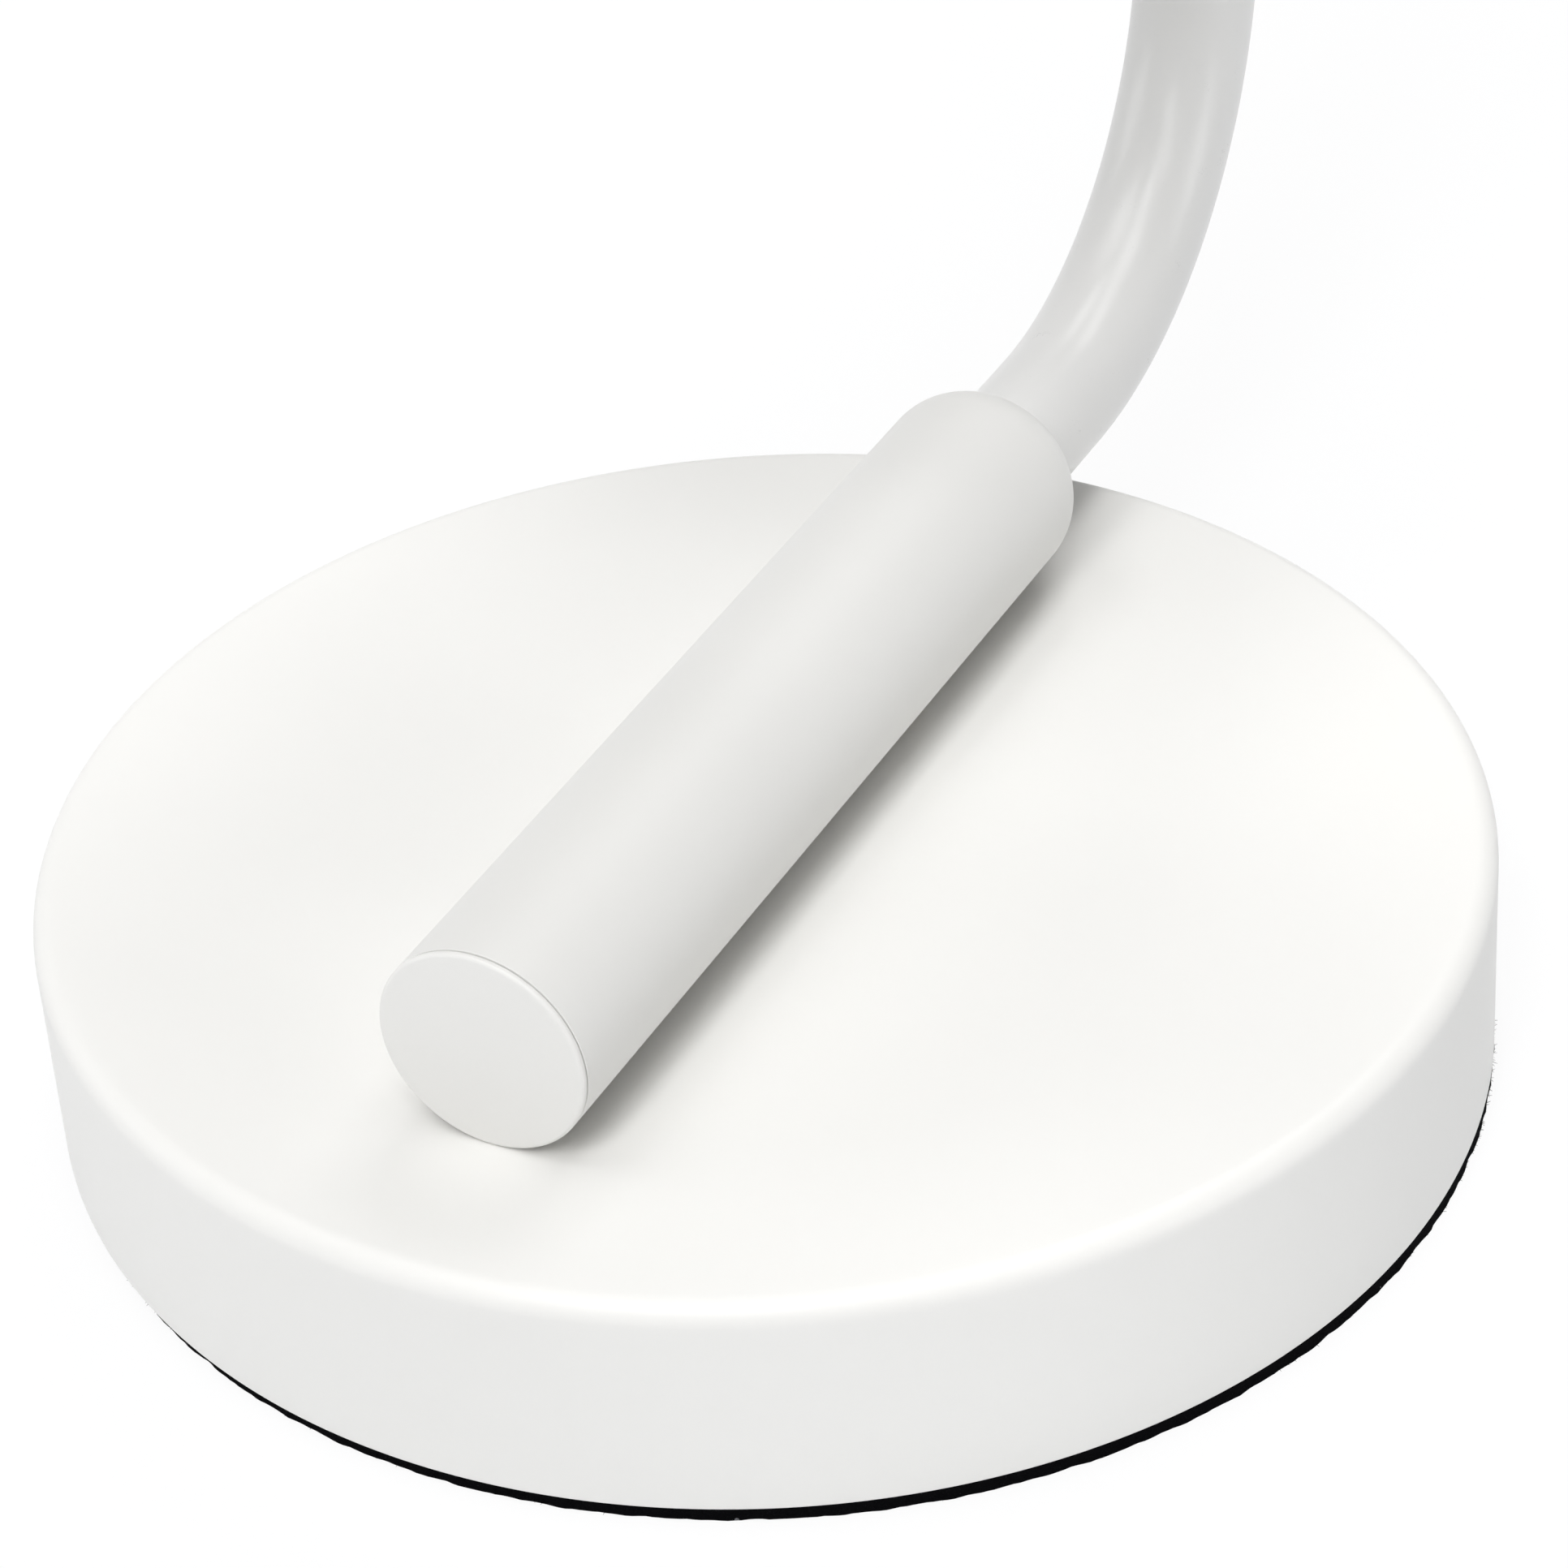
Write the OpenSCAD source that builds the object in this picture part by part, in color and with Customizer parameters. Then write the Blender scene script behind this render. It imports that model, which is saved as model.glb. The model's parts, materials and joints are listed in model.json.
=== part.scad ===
// Gooseneck desk lamp. A heavy round base carries a barrel that lies across its top. A push switch
// closes the barrel's front end, and a flexible neck leaves its rounded rear end, rises and bends
// over to a spun shade with a small screw-in bulb.
// Millimetres, +Z up. The origin is the middle of the base's underside, and the switch faces -Y.

/* [Base] */
// Diameter of the base cover
base_d = 190; // [170:1:230]
// Height of the base cover, without the pad under it
base_h = 31.1; // [28:0.1:40]
// Radius of the base cover's top edge
base_edge_r = 3; // [1:0.1:5]
// Sheet thickness of the base cover
base_wall = 2; // [1.2:0.1:2.6]
// Thickness of the soft pad under the base
pad_t = 2; // [1:0.1:4]
// How far the pad stays inside the cover's outline
pad_inset = 0.6; // [0:0.1:3]
// How far the pad is glued off the middle, towards +X
pad_shift = 0.6; // [0:0.1:1]
// Thickness of the bottom plate
plate_t = 2; // [1.5:0.1:3]
// Thickness of the cast ballast
ballast_t = 16; // [13:0.5:20]
// Diameter of the wiring well through the ballast
well_d = 48; // [40:1:52]
// Height of the cord inlet above the pad
inlet_h = 12; // [11:0.5:14]
// Diameter of the hole through the cord grommet
inlet_d = 6.6; // [5:0.1:7]

/* [Barrel] */
// Outer diameter of the barrel
barrel_d = 28.2; // [27:0.1:32]
// Length of the barrel with its switch cap
barrel_l = 144.5; // [135:0.5:160]
// How far the face of the switch cap stays behind the front of the base
cap_setback = 24.5; // [18:0.5:32]
// Wall thickness of the barrel
barrel_wall = 1.6; // [1:0.1:1.8]
// Radius of the barrel's rounded rear edge
barrel_end_r = 8.6; // [5:0.1:10]

/* [Switch] */
// Thickness of the switch cap's rim
cap_rim = 0.8; // [0.6:0.1:3]
// Radius of the switch cap's front edge
cap_edge_r = 0.5; // [0.2:0.1:0.6]
// Travel of the switch cap
cap_travel = 0.2; // [0.2:0.1:1]
// Wall left round the barrel's mouth, where the cap's collar slides
mouth_wall = 0.5; // [0.4:0.1:0.8]

/* [Neck] */
// Outer diameter of the neck's sleeve
neck_d = 17.5; // [16.8:0.1:20]
// Outer diameter of the coiled core inside the sleeve
core_d = 14.7; // [14.3:0.1:15.2]
// Bore of the core, for the lead
core_bore_d = 6.4; // [5.5:0.1:6.6]
// Straight length between the barrel and the lower bend
neck_lead_in = 16.5; // [12:0.5:40]
// Radius of the lower bend
low_bend_r = 53.2; // [48:0.1:80]
// Angle of the lower bend
low_bend_angle = 90; // [75:1:95]
// Straight length between the bends
neck_rise = 220; // [180:1:280]
// Radius of the upper bend
top_bend_r = 62; // [55:0.5:90]
// Angle of the upper bend
top_bend_angle = 150; // [120:1:160]
// Most that one joint of the neck bends either way
joint_swing = 20; // [10:1:22]
// Diameter of the ball at each joint of the core
ball_d = 12.6; // [12.2:0.1:13]

/* [Head] */
// Outer diameter of the lampholder housing
head_d = 34; // [33:0.1:40]
// Length of the lampholder housing
head_l = 56; // [52:0.5:62]
// Wall thickness of the lampholder housing
head_wall = 1.5; // [1:0.1:2]
// Radius of the housing's rounded end
head_end_r = 10; // [6:0.1:10]
// Outer diameter of the lampholder's skirt
holder_d = 26.4; // [22:0.1:28]

/* [Shade] */
// Diameter of the shade's flat top, before its shoulder is rounded
shade_top_d = 54; // [48:1:60]
// Diameter of the shade's mouth
shade_mouth_d = 128; // [100:1:150]
// Length of the shade
shade_l = 84; // [76:1:110]
// Sheet thickness of the shade
shade_wall = 0.8; // [0.6:0.1:1.6]
// Radius of the shade's shoulder
shade_shoulder_r = 12; // [6:0.5:14]

/* [Bulb] */
// Diameter of the bulb's globe
globe_d = 45; // [40:0.5:46]
// Length of the bulb with its cap
bulb_l = 74; // [68:0.5:78]
// Diameter of the bulb's screw cap
bulb_cap_d = 13.8; // [13:0.1:14.2]

/* [Hidden] */
$fn = 96;
// Gaps: fixed parts that seat in each other, a sliding fit, threads, and the ball joints
seat = 0.05;
slide_fit = 0.1;
thread_fit = 0.05;
ball_fit = 0.08;
overshoot = 1;

// Base, from the floor up
base_r = base_d / 2;
cover_z = pad_t;
deck_z = cover_z + base_h;
under_deck_z = deck_z - base_wall;
plate_top_z = pad_t + plate_t;
ballast_z = under_deck_z - ballast_t;
ballast_r = base_r - base_wall - max(1, base_edge_r - base_wall + 0.2);
plate_screw_inset = 14;
plate_screw_r = ballast_r - plate_screw_inset;
PLATE_SCREW_ANGLES = [-90, 30, 150];
boss_r = 6;
plate_screw_d = 4;
plate_screw_l = 9;
plate_screw_head_d = 7.6;
inlet_z = cover_z + inlet_h;
grommet_wall = 1.7;
grommet_overhang = 1.5;
grommet_body_r = inlet_d / 2 + grommet_wall;
grommet_flange_r = grommet_body_r + grommet_overhang;
grommet_flange_t = 1.4;
channel_clearance = 3;

// Barrel, along Y
barrel_r = barrel_d / 2;
barrel_bore_r = barrel_r - barrel_wall;
barrel_z = deck_z + barrel_r;
front_y = cap_setback - base_r;
rear_y = front_y + barrel_l;
cap_gap = cap_travel + seat;
tube_start = cap_rim + cap_gap;

// Switch, as distances behind the face of the cap
mouth_depth = 3;
collar_r = barrel_r - mouth_wall - slide_fit;
collar_end = tube_start + mouth_depth - cap_gap - slide_fit;
spigot_depth = 6.5;
spigot_t = 1.5;
guide_gap = 2.4;
guide_at = tube_start + spigot_depth + guide_gap;
guide_l = 10;
guide_web = 3;
pocket_r = 8;
stem_r = 3;
clip_r = 5.5;
clip_t = 0.8;
clip_groove = 0.4;
stem_end = guide_at + guide_web + clip_t + 2.2;
switch_at = guide_at + guide_l;
switch_l = 22;
switch_side = 13;
switch_boss_l = 2;
plunger_r = 2;
plunger_in = 2.5;

// Where the neck ends are held, as depths into the barrel or the housing
core_in = 10.5;
sleeve_in = 8;
plug_t = 12;
ferrule_r = 5;
ferrule_grip = 8;
nut_side = 14;
nut_t = 4;
nut_at = core_in + plug_t + seat;
ferrule_end = nut_at + nut_t + 2;

// What holds the barrel down
bar_drop = 7.5;
bar_end_gap = 2;
bar_y0 = front_y + switch_at + bar_end_gap;
bar_y1 = rear_y - ferrule_end - bar_end_gap;
nipple_inset = 14;
nipple_y = bar_y1 - nipple_inset;
nipple_r = 5;
nipple_bore_r = 3.6;
nipple_below = 6;
nipple_nut_t = 3.5;
bar_top_z = barrel_z - bar_drop;
barrel_screw_d = 5;
barrel_screw_inset = 8;
barrel_screw_y0 = bar_y0 + barrel_screw_inset;
BARREL_SCREWS_Y = [barrel_screw_y0, (barrel_screw_y0 + nipple_y) / 2];
counterbore_r = 5.6;
counterbore_l = 7;
washer_t = 1;
washer_r = 5;
screw_head_r = 4.25;
screw_head_t = 5;
screw_key_r = 2.3;
screw_seat_z = ballast_z + counterbore_l;
terminal_w = 20;
terminal_d = 12;
terminal_h = 11;
way_x = 5.9;
way_r = 1.6;

// Leads
lead_r = 1.5;
lead_x = 1.6;
lead_bend_r = 8;

// Neck: the joint between two links, and the line that the links follow
neck_lead_out = 10;
neck_r = neck_d / 2;
core_r = core_d / 2;
core_bore_r = core_bore_d / 2;
ball_r = ball_d / 2;
lip = 2;
stem_of_ball_r = 4.6;
throat_r = core_bore_r - 0.6;
shoulder = lip * cos(joint_swing) + neck_r * sin(joint_swing) + 0.7;
low_len = low_bend_r * low_bend_angle * PI / 180;
top_len = top_bend_r * top_bend_angle * PI / 180;
// Each stretch of the neck's line: its length and its bend radius, which is 0 where it is straight
STRETCHES = [
    [neck_lead_in, 0],
    [low_len, low_bend_r],
    [neck_rise, 0],
    [top_len, top_bend_r],
    [neck_lead_out, 0]
];
// How many links each stretch is divided into; the first and the last are held in their plugs
LINKS_IN = [1, 3, 4, 4, 1];
LAST_LINK = total(LINKS_IN, len(LINKS_IN)) - 1;
neck_end = neck_lead_in + low_len + neck_rise + top_len + neck_lead_out;

// Head, as distances from the end of the neck's line
head_r = head_d / 2;
head_bore_r = head_r - head_wall;
holder_r = holder_d / 2;
holder_at = ferrule_end + 1;
holder_collar_r = 8;
holder_collar_l = 7;
holder_cone_l = 5;
holder_floor = holder_at + holder_collar_l + holder_cone_l;
holder_bore_r = bulb_cap_d / 2 + 0.8;
ring_t = 4;
ring_width = 7;
ring_r = holder_r + ring_width;
ring_notches = 20;
ring_notch_r = 1;
holder_stands_out = 5;
holder_end = head_l + shade_wall + ring_t + holder_stands_out;
contact_t = 1;
contact_r = 3;
bulb_foot = holder_floor + contact_t + seat;
cap_foot_l = 2.5;
cap_foot_r = 2.4;
cap_foot_inset = 1;
globe_r = globe_d / 2;
globe_at = bulb_foot + bulb_l - globe_r;
bulb_neck_at = holder_end - 1;
bulb_neck_r = bulb_cap_d / 2 + 0.4;
bulb_shoulder_r = globe_r * 0.75;
bulb_shoulder_at = globe_at - globe_r / 2;
bulb_hollow_r = 7;
glass_t = 1;

// Shade: the flare's slope and where the rounded shoulder meets the flat top and the flare
flare_angle = atan2((shade_mouth_d - shade_top_d) / 2, shade_l);
shoulder_x = shade_top_d / 2 - shade_shoulder_r * (1 - sin(flare_angle)) / cos(flare_angle);
shoulder_z = head_l + shade_shoulder_r;
mouth_z = head_l + shade_l;
bead_r = 1.2;

// ---- Frames ----

// +Z runs along the barrel to the rear, from a distance behind the face of the switch cap
module behind_face(distance) {
    translate([0, front_y + distance, barrel_z]) rotate([-90, 0, 0]) children();
}

// +Z runs into the barrel from its rear end
module in_barrel() {
    translate([0, rear_y, barrel_z]) rotate([90, 0, 0]) children();
}

// A point [y, z, slope] moved along a stretch of the neck's line
function turned(len, r) = r == 0 ? 0 : len / r * 180 / PI;
function advance(p, len, r) = r == 0
    ? [p[0] + len * cos(p[2]), p[1] + len * sin(p[2]), p[2]]
    : let (a = p[2] + turned(len, r))
        [p[0] + r * (sin(a) - sin(p[2])), p[1] - r * (cos(a) - cos(p[2])), a];

// Where stretch n begins, as a distance from the barrel's rear end and as a point
function stretch_start(n) = n == 0 ? 0 : stretch_start(n - 1) + STRETCHES[n - 1][0];
function stretch_point(n) = n == 0
    ? [rear_y, barrel_z, 0]
    : advance(stretch_point(n - 1), STRETCHES[n - 1][0], STRETCHES[n - 1][1]);

// The point at a distance along the neck's line
function point_at(s, n = 0) =
    n == len(STRETCHES) - 1 || s <= stretch_start(n + 1)
        ? advance(stretch_point(n), s - stretch_start(n), STRETCHES[n][1])
        : point_at(s, n + 1);

// The stretch that link k is in, and the distance to joint k, which lies between links k and k + 1
// so that the narrow gap there falls where two stretches meet
function stretch_of(k, n = 0) = k < total(LINKS_IN, n + 1) ? n : stretch_of(k, n + 1);
function total(list, n) = n == 0 ? 0 : list[n - 1] + total(list, n - 1);
function station(k, n = 0) = k < total(LINKS_IN, n + 1)
    ? stretch_start(n) + STRETCHES[n][0] * (k + 1 - total(LINKS_IN, n)) / LINKS_IN[n]
        + (lip + shoulder) / 2
    : station(k, n + 1);

// +Z runs along the neck's line at a point of it, or at a distance along it
module at_point(p) {
    translate([0, p[0], p[1]]) rotate([p[2] - 90, 0, 0]) children();
}

module at_neck(s) {
    at_point(point_at(s)) children();
}

// +Z runs into the head from the end of the neck's line
module in_head() {
    at_neck(neck_end) children();
}

// ---- Shared forms ----

// A round rod that follows stretch n of the neck's line, or that line carried on past its ends
module neck_rod(n, s0, s1, r) {
    bend_r = STRETCHES[n][1];
    p = advance(stretch_point(n), s0 - stretch_start(n), bend_r);
    if (bend_r == 0) at_point(p) cylinder(h = s1 - s0, r = r);
    if (bend_r > 0) translate([0, p[0] - bend_r * sin(p[2]), p[1] + bend_r * cos(p[2])])
        rotate([p[2], 0, 0])
            rotate([0, 90, 0])
                rotate_extrude(angle = turned(s1 - s0, bend_r)) translate([bend_r, 0]) circle(r);
}

// A rod with a flat end at 0 and a rounded edge at its far end
module rounded_rod(r, l, edge) {
    rotate_extrude() {
        square([r - edge, l]);
        square([r, l - edge]);
        intersection() {
            translate([r - edge, l - edge]) circle(edge);
            square([2 * r, 2 * l]);
        }
    }
}

module ring(outer_r, inner_r, h) {
    difference() {
        cylinder(h = h, r = outer_r);
        translate([0, 0, -overshoot]) cylinder(h = h + 2 * overshoot, r = inner_r);
    }
}

module hex_nut(side, bore_r, h) {
    difference() {
        cylinder(h = h, r = side / sqrt(3), $fn = 6);
        translate([0, 0, -overshoot]) cylinder(h = h + 2 * overshoot, r = bore_r);
    }
}

module at_plate_screws() {
    for (a = PLATE_SCREW_ANGLES)
        translate([plate_screw_r * cos(a), plate_screw_r * sin(a), 0]) children();
}

module at_barrel_screws() {
    for (y = BARREL_SCREWS_Y) translate([0, y, 0]) children();
}

// The holes for the barrel's screws and the nipple, drilled up through what they hold together
module barrel_holes(z0, z1) {
    at_barrel_screws() translate([0, 0, z0]) cylinder(h = z1 - z0, d = barrel_screw_d + 0.5);
    translate([0, nipple_y, z0]) cylinder(h = z1 - z0, r = nipple_r + slide_fit);
}

// What holds one end of the neck: a plug fixed in the tube, the ferrule through it and a lock nut
module end_plug(tube_bore_r) {
    translate([0, 0, core_in]) ring(tube_bore_r - seat, ferrule_r + thread_fit, plug_t);
}

module end_ferrule(end) {
    translate([0, 0, core_in - ferrule_grip]) ring(ferrule_r, core_bore_r, end - core_in + ferrule_grip);
}

module end_nut() {
    translate([0, 0, nut_at]) hex_nut(nut_side, ferrule_r + thread_fit, nut_t);
}

// ---- Base ----

module base_pad() {
    color("#1c1c1e") translate([pad_shift, 0, 0]) cylinder(h = pad_t, r = base_r - pad_inset);
}

module bottom_plate() {
    color("silver") difference() {
        translate([0, 0, pad_t]) cylinder(h = plate_t, r = base_r - base_wall - 0.3);
        at_plate_screws() countersunk(slide_fit, plate_t + overshoot);
    }
}

// A countersunk screw standing on its head, grown by a gap, from the plate's underside up
module countersunk(gap, l) {
    head_l = (plate_screw_head_d - plate_screw_d) / 2;
    translate([0, 0, pad_t]) {
        cylinder(h = head_l, d1 = plate_screw_head_d + 2 * gap, d2 = plate_screw_d + 2 * gap);
        cylinder(h = l, d = plate_screw_d + 2 * gap);
        translate([0, 0, -overshoot * sign(gap)])
            cylinder(h = overshoot * sign(gap), d = plate_screw_head_d + 2 * gap);
    }
}

module plate_screws() {
    color("silver") at_plate_screws() countersunk(0, plate_screw_l);
}

module base_cover() {
    inner_edge = max(0.2, base_edge_r - base_wall);
    color("white") difference() {
        translate([0, 0, cover_z]) difference() {
            rounded_rod(base_r, base_h, base_edge_r);
            translate([0, 0, -base_wall]) rounded_rod(base_r - base_wall, base_h, inner_edge);
        }
        barrel_holes(under_deck_z - overshoot, deck_z + overshoot);
        translate([0, base_r - 3 * base_wall, inlet_z])
            rotate([-90, 0, 0]) cylinder(h = 4 * base_wall, r = grommet_body_r + seat);
    }
}

module ballast() {
    color("dimgray") difference() {
        union() {
            translate([0, 0, ballast_z]) cylinder(h = ballast_t - seat, r = ballast_r);
            at_plate_screws() translate([0, 0, plate_top_z + seat])
                cylinder(h = ballast_z - plate_top_z + overshoot, r = boss_r);
        }
        translate([0, nipple_y, ballast_z - overshoot])
            cylinder(h = ballast_t + 2 * overshoot, d = well_d);
        cord_channel();
        barrel_holes(ballast_z - overshoot, under_deck_z + overshoot);
        at_barrel_screws() translate([0, 0, ballast_z - overshoot])
            cylinder(h = counterbore_l + overshoot, r = counterbore_r);
        at_plate_screws() translate([0, 0, plate_top_z])
            cylinder(h = plate_screw_l, d = plate_screw_d + 2 * thread_fit);
    }
}

// The way for the cord along the ballast's underside, from the inlet to the well
module cord_channel() {
    w = 2 * grommet_flange_r + channel_clearance;
    translate([-w / 2, nipple_y, ballast_z - overshoot])
        cube([w, base_r, inlet_z + grommet_flange_r + overshoot - ballast_z + overshoot]);
}

module cord_grommet() {
    wall_y = base_r - base_wall;
    flat_y = sqrt(wall_y * wall_y - grommet_flange_r * grommet_flange_r) - seat;
    color("#e8e8e6") translate([0, 0, inlet_z]) rotate([-90, 0, 0]) difference() {
        union() {
            translate([0, 0, flat_y - grommet_flange_t]) cylinder(h = grommet_flange_t, r = grommet_flange_r);
            translate([0, 0, flat_y - seat]) cylinder(h = base_r - flat_y + 2 * seat, r = grommet_body_r);
            translate([0, 0, base_r + seat]) cylinder(h = grommet_flange_t, r = grommet_flange_r);
        }
        translate([0, 0, flat_y - 2 * grommet_flange_t])
            cylinder(h = 8 * grommet_flange_t, d = inlet_d);
    }
}

// A two-way terminal block: a moulded body with a screw well and a lead port for each way
module terminal_block() {
    color("ivory") difference() {
        translate([-terminal_w / 2, nipple_y - terminal_d / 2, plate_top_z])
            cube([terminal_w, terminal_d, terminal_h]);
        for (side = [-1, 1]) {
            translate([side * way_x, nipple_y, plate_top_z + terminal_h / 2])
                cylinder(h = terminal_h, r = way_r);
            translate([side * way_x, nipple_y + terminal_d, plate_top_z + terminal_h / 3])
                rotate([90, 0, 0]) cylinder(h = 2 * terminal_d, r = way_r);
        }
    }
}

// ---- Barrel ----

module barrel() {
    color("white") difference() {
        behind_face(tube_start) rounded_rod(barrel_r, barrel_l - tube_start, barrel_end_r);
        behind_face(tube_start - barrel_wall)
            rounded_rod(barrel_bore_r, barrel_l - tube_start, barrel_end_r - barrel_wall);
        behind_face(tube_start - overshoot)
            cylinder(h = mouth_depth + overshoot, r = barrel_r - mouth_wall);
        at_neck(-barrel_end_r) cylinder(h = 2 * barrel_end_r, r = neck_r + slide_fit);
        barrel_holes(deck_z - overshoot, barrel_z - bar_drop);
    }
}

// The bar inside the barrel that its screws pull down, round below and flat on top
module nut_bar() {
    color("silver") difference() {
        translate([0, bar_y1, barrel_z]) rotate([90, 0, 0]) linear_extrude(bar_y1 - bar_y0)
            difference() {
                circle(barrel_bore_r - seat);
                translate([-barrel_d, -bar_drop]) square([2 * barrel_d, barrel_d]);
            }
        at_barrel_screws() translate([0, 0, deck_z])
            cylinder(h = barrel_r, d = barrel_screw_d + 2 * thread_fit);
        translate([0, nipple_y, deck_z]) cylinder(h = barrel_r, r = nipple_r + thread_fit);
    }
}

module barrel_screws() {
    color("silver") at_barrel_screws() difference() {
        union() {
            translate([0, 0, screw_seat_z - washer_t]) cylinder(h = bar_top_z - screw_seat_z, d = barrel_screw_d);
            translate([0, 0, screw_seat_z - washer_t - screw_head_t])
                cylinder(h = screw_head_t, r = screw_head_r);
        }
        translate([0, 0, screw_seat_z - washer_t - screw_head_t - overshoot])
            cylinder(h = screw_head_t / 2 + overshoot, r = screw_key_r, $fn = 6);
    }
}

module barrel_washers() {
    color("silver") at_barrel_screws() translate([0, 0, screw_seat_z - washer_t + seat])
        ring(washer_r, barrel_screw_d / 2 + slide_fit, washer_t - 2 * seat);
}

// The hollow threaded nipple that leads the wires from the base into the barrel
module wire_nipple() {
    z0 = under_deck_z - nipple_below;
    color("goldenrod") translate([0, nipple_y, z0])
        ring(nipple_r, nipple_bore_r, bar_top_z + 1.5 - z0);
}

module nipple_nut() {
    color("goldenrod") translate([0, nipple_y, under_deck_z - nipple_nut_t - seat])
        hex_nut(nut_side, nipple_r + thread_fit, nipple_nut_t);
}

// A lead: up out of the terminal block through the nipple, round a bend and along the barrel's axis
module lead(side, run) {
    drop = barrel_z - lead_bend_r;
    start_z = plate_top_z + terminal_h + seat;
    translate([side * lead_x, nipple_y, 0]) {
        translate([0, 0, start_z]) cylinder(h = drop - start_z, r = lead_r);
        translate([0, side * lead_bend_r, drop]) mirror([0, side < 0 ? 1 : 0, 0])
            rotate([-90, 0, 0]) rotate([0, 90, 0])
                mirror([0, 1, 0]) rotate_extrude(angle = 90) translate([lead_bend_r, 0]) circle(lead_r);
        translate([0, side * lead_bend_r, barrel_z]) rotate([-90 * side, 0, 0]) cylinder(h = run, r = lead_r);
    }
}

module neck_lead() {
    color("#d9d4c4") lead(1, rear_y - core_in - nipple_y - lead_bend_r);
}

module switch_lead() {
    color("#d9d4c4") lead(-1, nipple_y - lead_bend_r - (front_y + switch_at + switch_l) - seat);
}

module barrel_plug() {
    color("silver") in_barrel() end_plug(barrel_bore_r);
}

module lower_ferrule() {
    color("silver") in_barrel() end_ferrule(ferrule_end);
}

module lower_lock_nut() {
    color("silver") in_barrel() end_nut();
}

// ---- Switch ----

// A flush cap as wide as the barrel, with a collar in its mouth, a hollow spigot in the tube and a
// stem to the switch
module switch_cap() {
    color("white") behind_face(0) difference() {
        union() {
            translate([0, 0, cap_rim]) mirror([0, 0, 1]) rounded_rod(barrel_r, cap_rim, cap_edge_r);
            translate([0, 0, cap_rim - seat])
                ring(barrel_bore_r - slide_fit, barrel_bore_r - slide_fit - spigot_t, spigot_depth);
            translate([0, 0, cap_rim - seat])
                ring(collar_r, barrel_bore_r - slide_fit - spigot_t / 2, collar_end - cap_rim + seat);
            translate([0, 0, cap_rim - seat]) cylinder(h = stem_end - cap_rim + seat, r = stem_r);
        }
        translate([0, 0, guide_at + guide_web + seat]) ring(stem_r + overshoot, stem_r - clip_groove, clip_t);
    }
}

module cap_clip() {
    color("silver") behind_face(guide_at + guide_web + 2 * seat)
        ring(clip_r, stem_r - clip_groove + seat, clip_t - 2 * seat);
}

module switch_plunger() {
    color("black") behind_face(stem_end) cylinder(h = switch_at + plunger_in - stem_end, r = plunger_r);
}

// A bush pressed in the barrel's mouth: its web guides the cap's stem, its pocket holds the switch
module switch_guide() {
    color("#d8d8d8") behind_face(guide_at) difference() {
        cylinder(h = guide_l, r = barrel_bore_r - seat);
        translate([0, 0, -overshoot]) cylinder(h = guide_l, r = stem_r + slide_fit);
        translate([0, 0, guide_web]) cylinder(h = guide_l, r = pocket_r);
    }
}

module push_switch() {
    color("#303034") behind_face(switch_at) difference() {
        union() {
            translate([-switch_side / 2, -switch_side / 2, 0]) cube([switch_side, switch_side, switch_l]);
            translate([0, 0, -switch_boss_l]) cylinder(h = switch_boss_l + seat, r = pocket_r - seat);
        }
        translate([0, 0, -switch_boss_l - overshoot])
            cylinder(h = switch_boss_l + plunger_in + 2 * overshoot + cap_travel, r = plunger_r + slide_fit);
    }
}

// ---- Neck ----

// Where link k begins and ends along the neck's line, when the barrel and the housing take a depth
function link_start(k, depth) = k == 0 ? -depth : station(k - 1) - lip;
function link_end(k, depth) = k == LAST_LINK ? neck_end + depth : station(k) - shoulder;

// One link of the coiled core: a socket round the ball before it, a tube, and a ball for the next
module neck_core(k) {
    n = stretch_of(k);
    from = link_start(k, core_in);
    to = link_end(k, core_in);
    color("#8d9094") difference() {
        union() {
            neck_rod(n, from, to, core_r);
            if (k < LAST_LINK) at_neck(station(k)) neck_ball();
        }
        neck_rod(n, from - overshoot, to + overshoot, core_bore_r);
        if (k < LAST_LINK) at_neck(station(k)) translate([0, 0, -shoulder - overshoot])
            cylinder(h = shoulder + overshoot + ball_d, r = throat_r);
        if (k > 0) at_neck(station(k - 1)) sphere(ball_r + ball_fit);
        if (k == 0) neck_rod(n, from - overshoot, from + ferrule_grip, ferrule_r + seat);
        if (k == LAST_LINK) neck_rod(n, to - ferrule_grip, to + overshoot, ferrule_r + seat);
    }
}

// The ball at the end of a link, on its short stem
module neck_ball() {
    sphere(ball_r);
    translate([0, 0, -shoulder - overshoot]) cylinder(h = shoulder + overshoot, r = stem_of_ball_r);
}

// The stretch of smooth outer sleeve that one link carries
module neck_sleeve(k) {
    n = stretch_of(k);
    from = link_start(k, sleeve_in);
    to = link_end(k, sleeve_in);
    color("#f2f2f0") difference() {
        neck_rod(n, from, to, neck_r);
        neck_rod(n, from - overshoot, to + overshoot, core_r + seat);
    }
}

// ---- Head ----

module head_housing() {
    color("white") in_head() difference() {
        translate([0, 0, head_l]) mirror([0, 0, 1]) rounded_rod(head_r, head_l, head_end_r);
        translate([0, 0, head_l + head_wall]) mirror([0, 0, 1])
            rounded_rod(head_bore_r, head_l, head_end_r - head_wall);
        translate([0, 0, -head_wall]) cylinder(h = head_end_r, r = neck_r + slide_fit);
    }
}

module head_plug() {
    color("silver") in_head() end_plug(head_bore_r);
}

module upper_ferrule() {
    color("silver") in_head() end_ferrule(holder_at + holder_collar_l);
}

module upper_lock_nut() {
    color("silver") in_head() end_nut();
}

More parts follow.
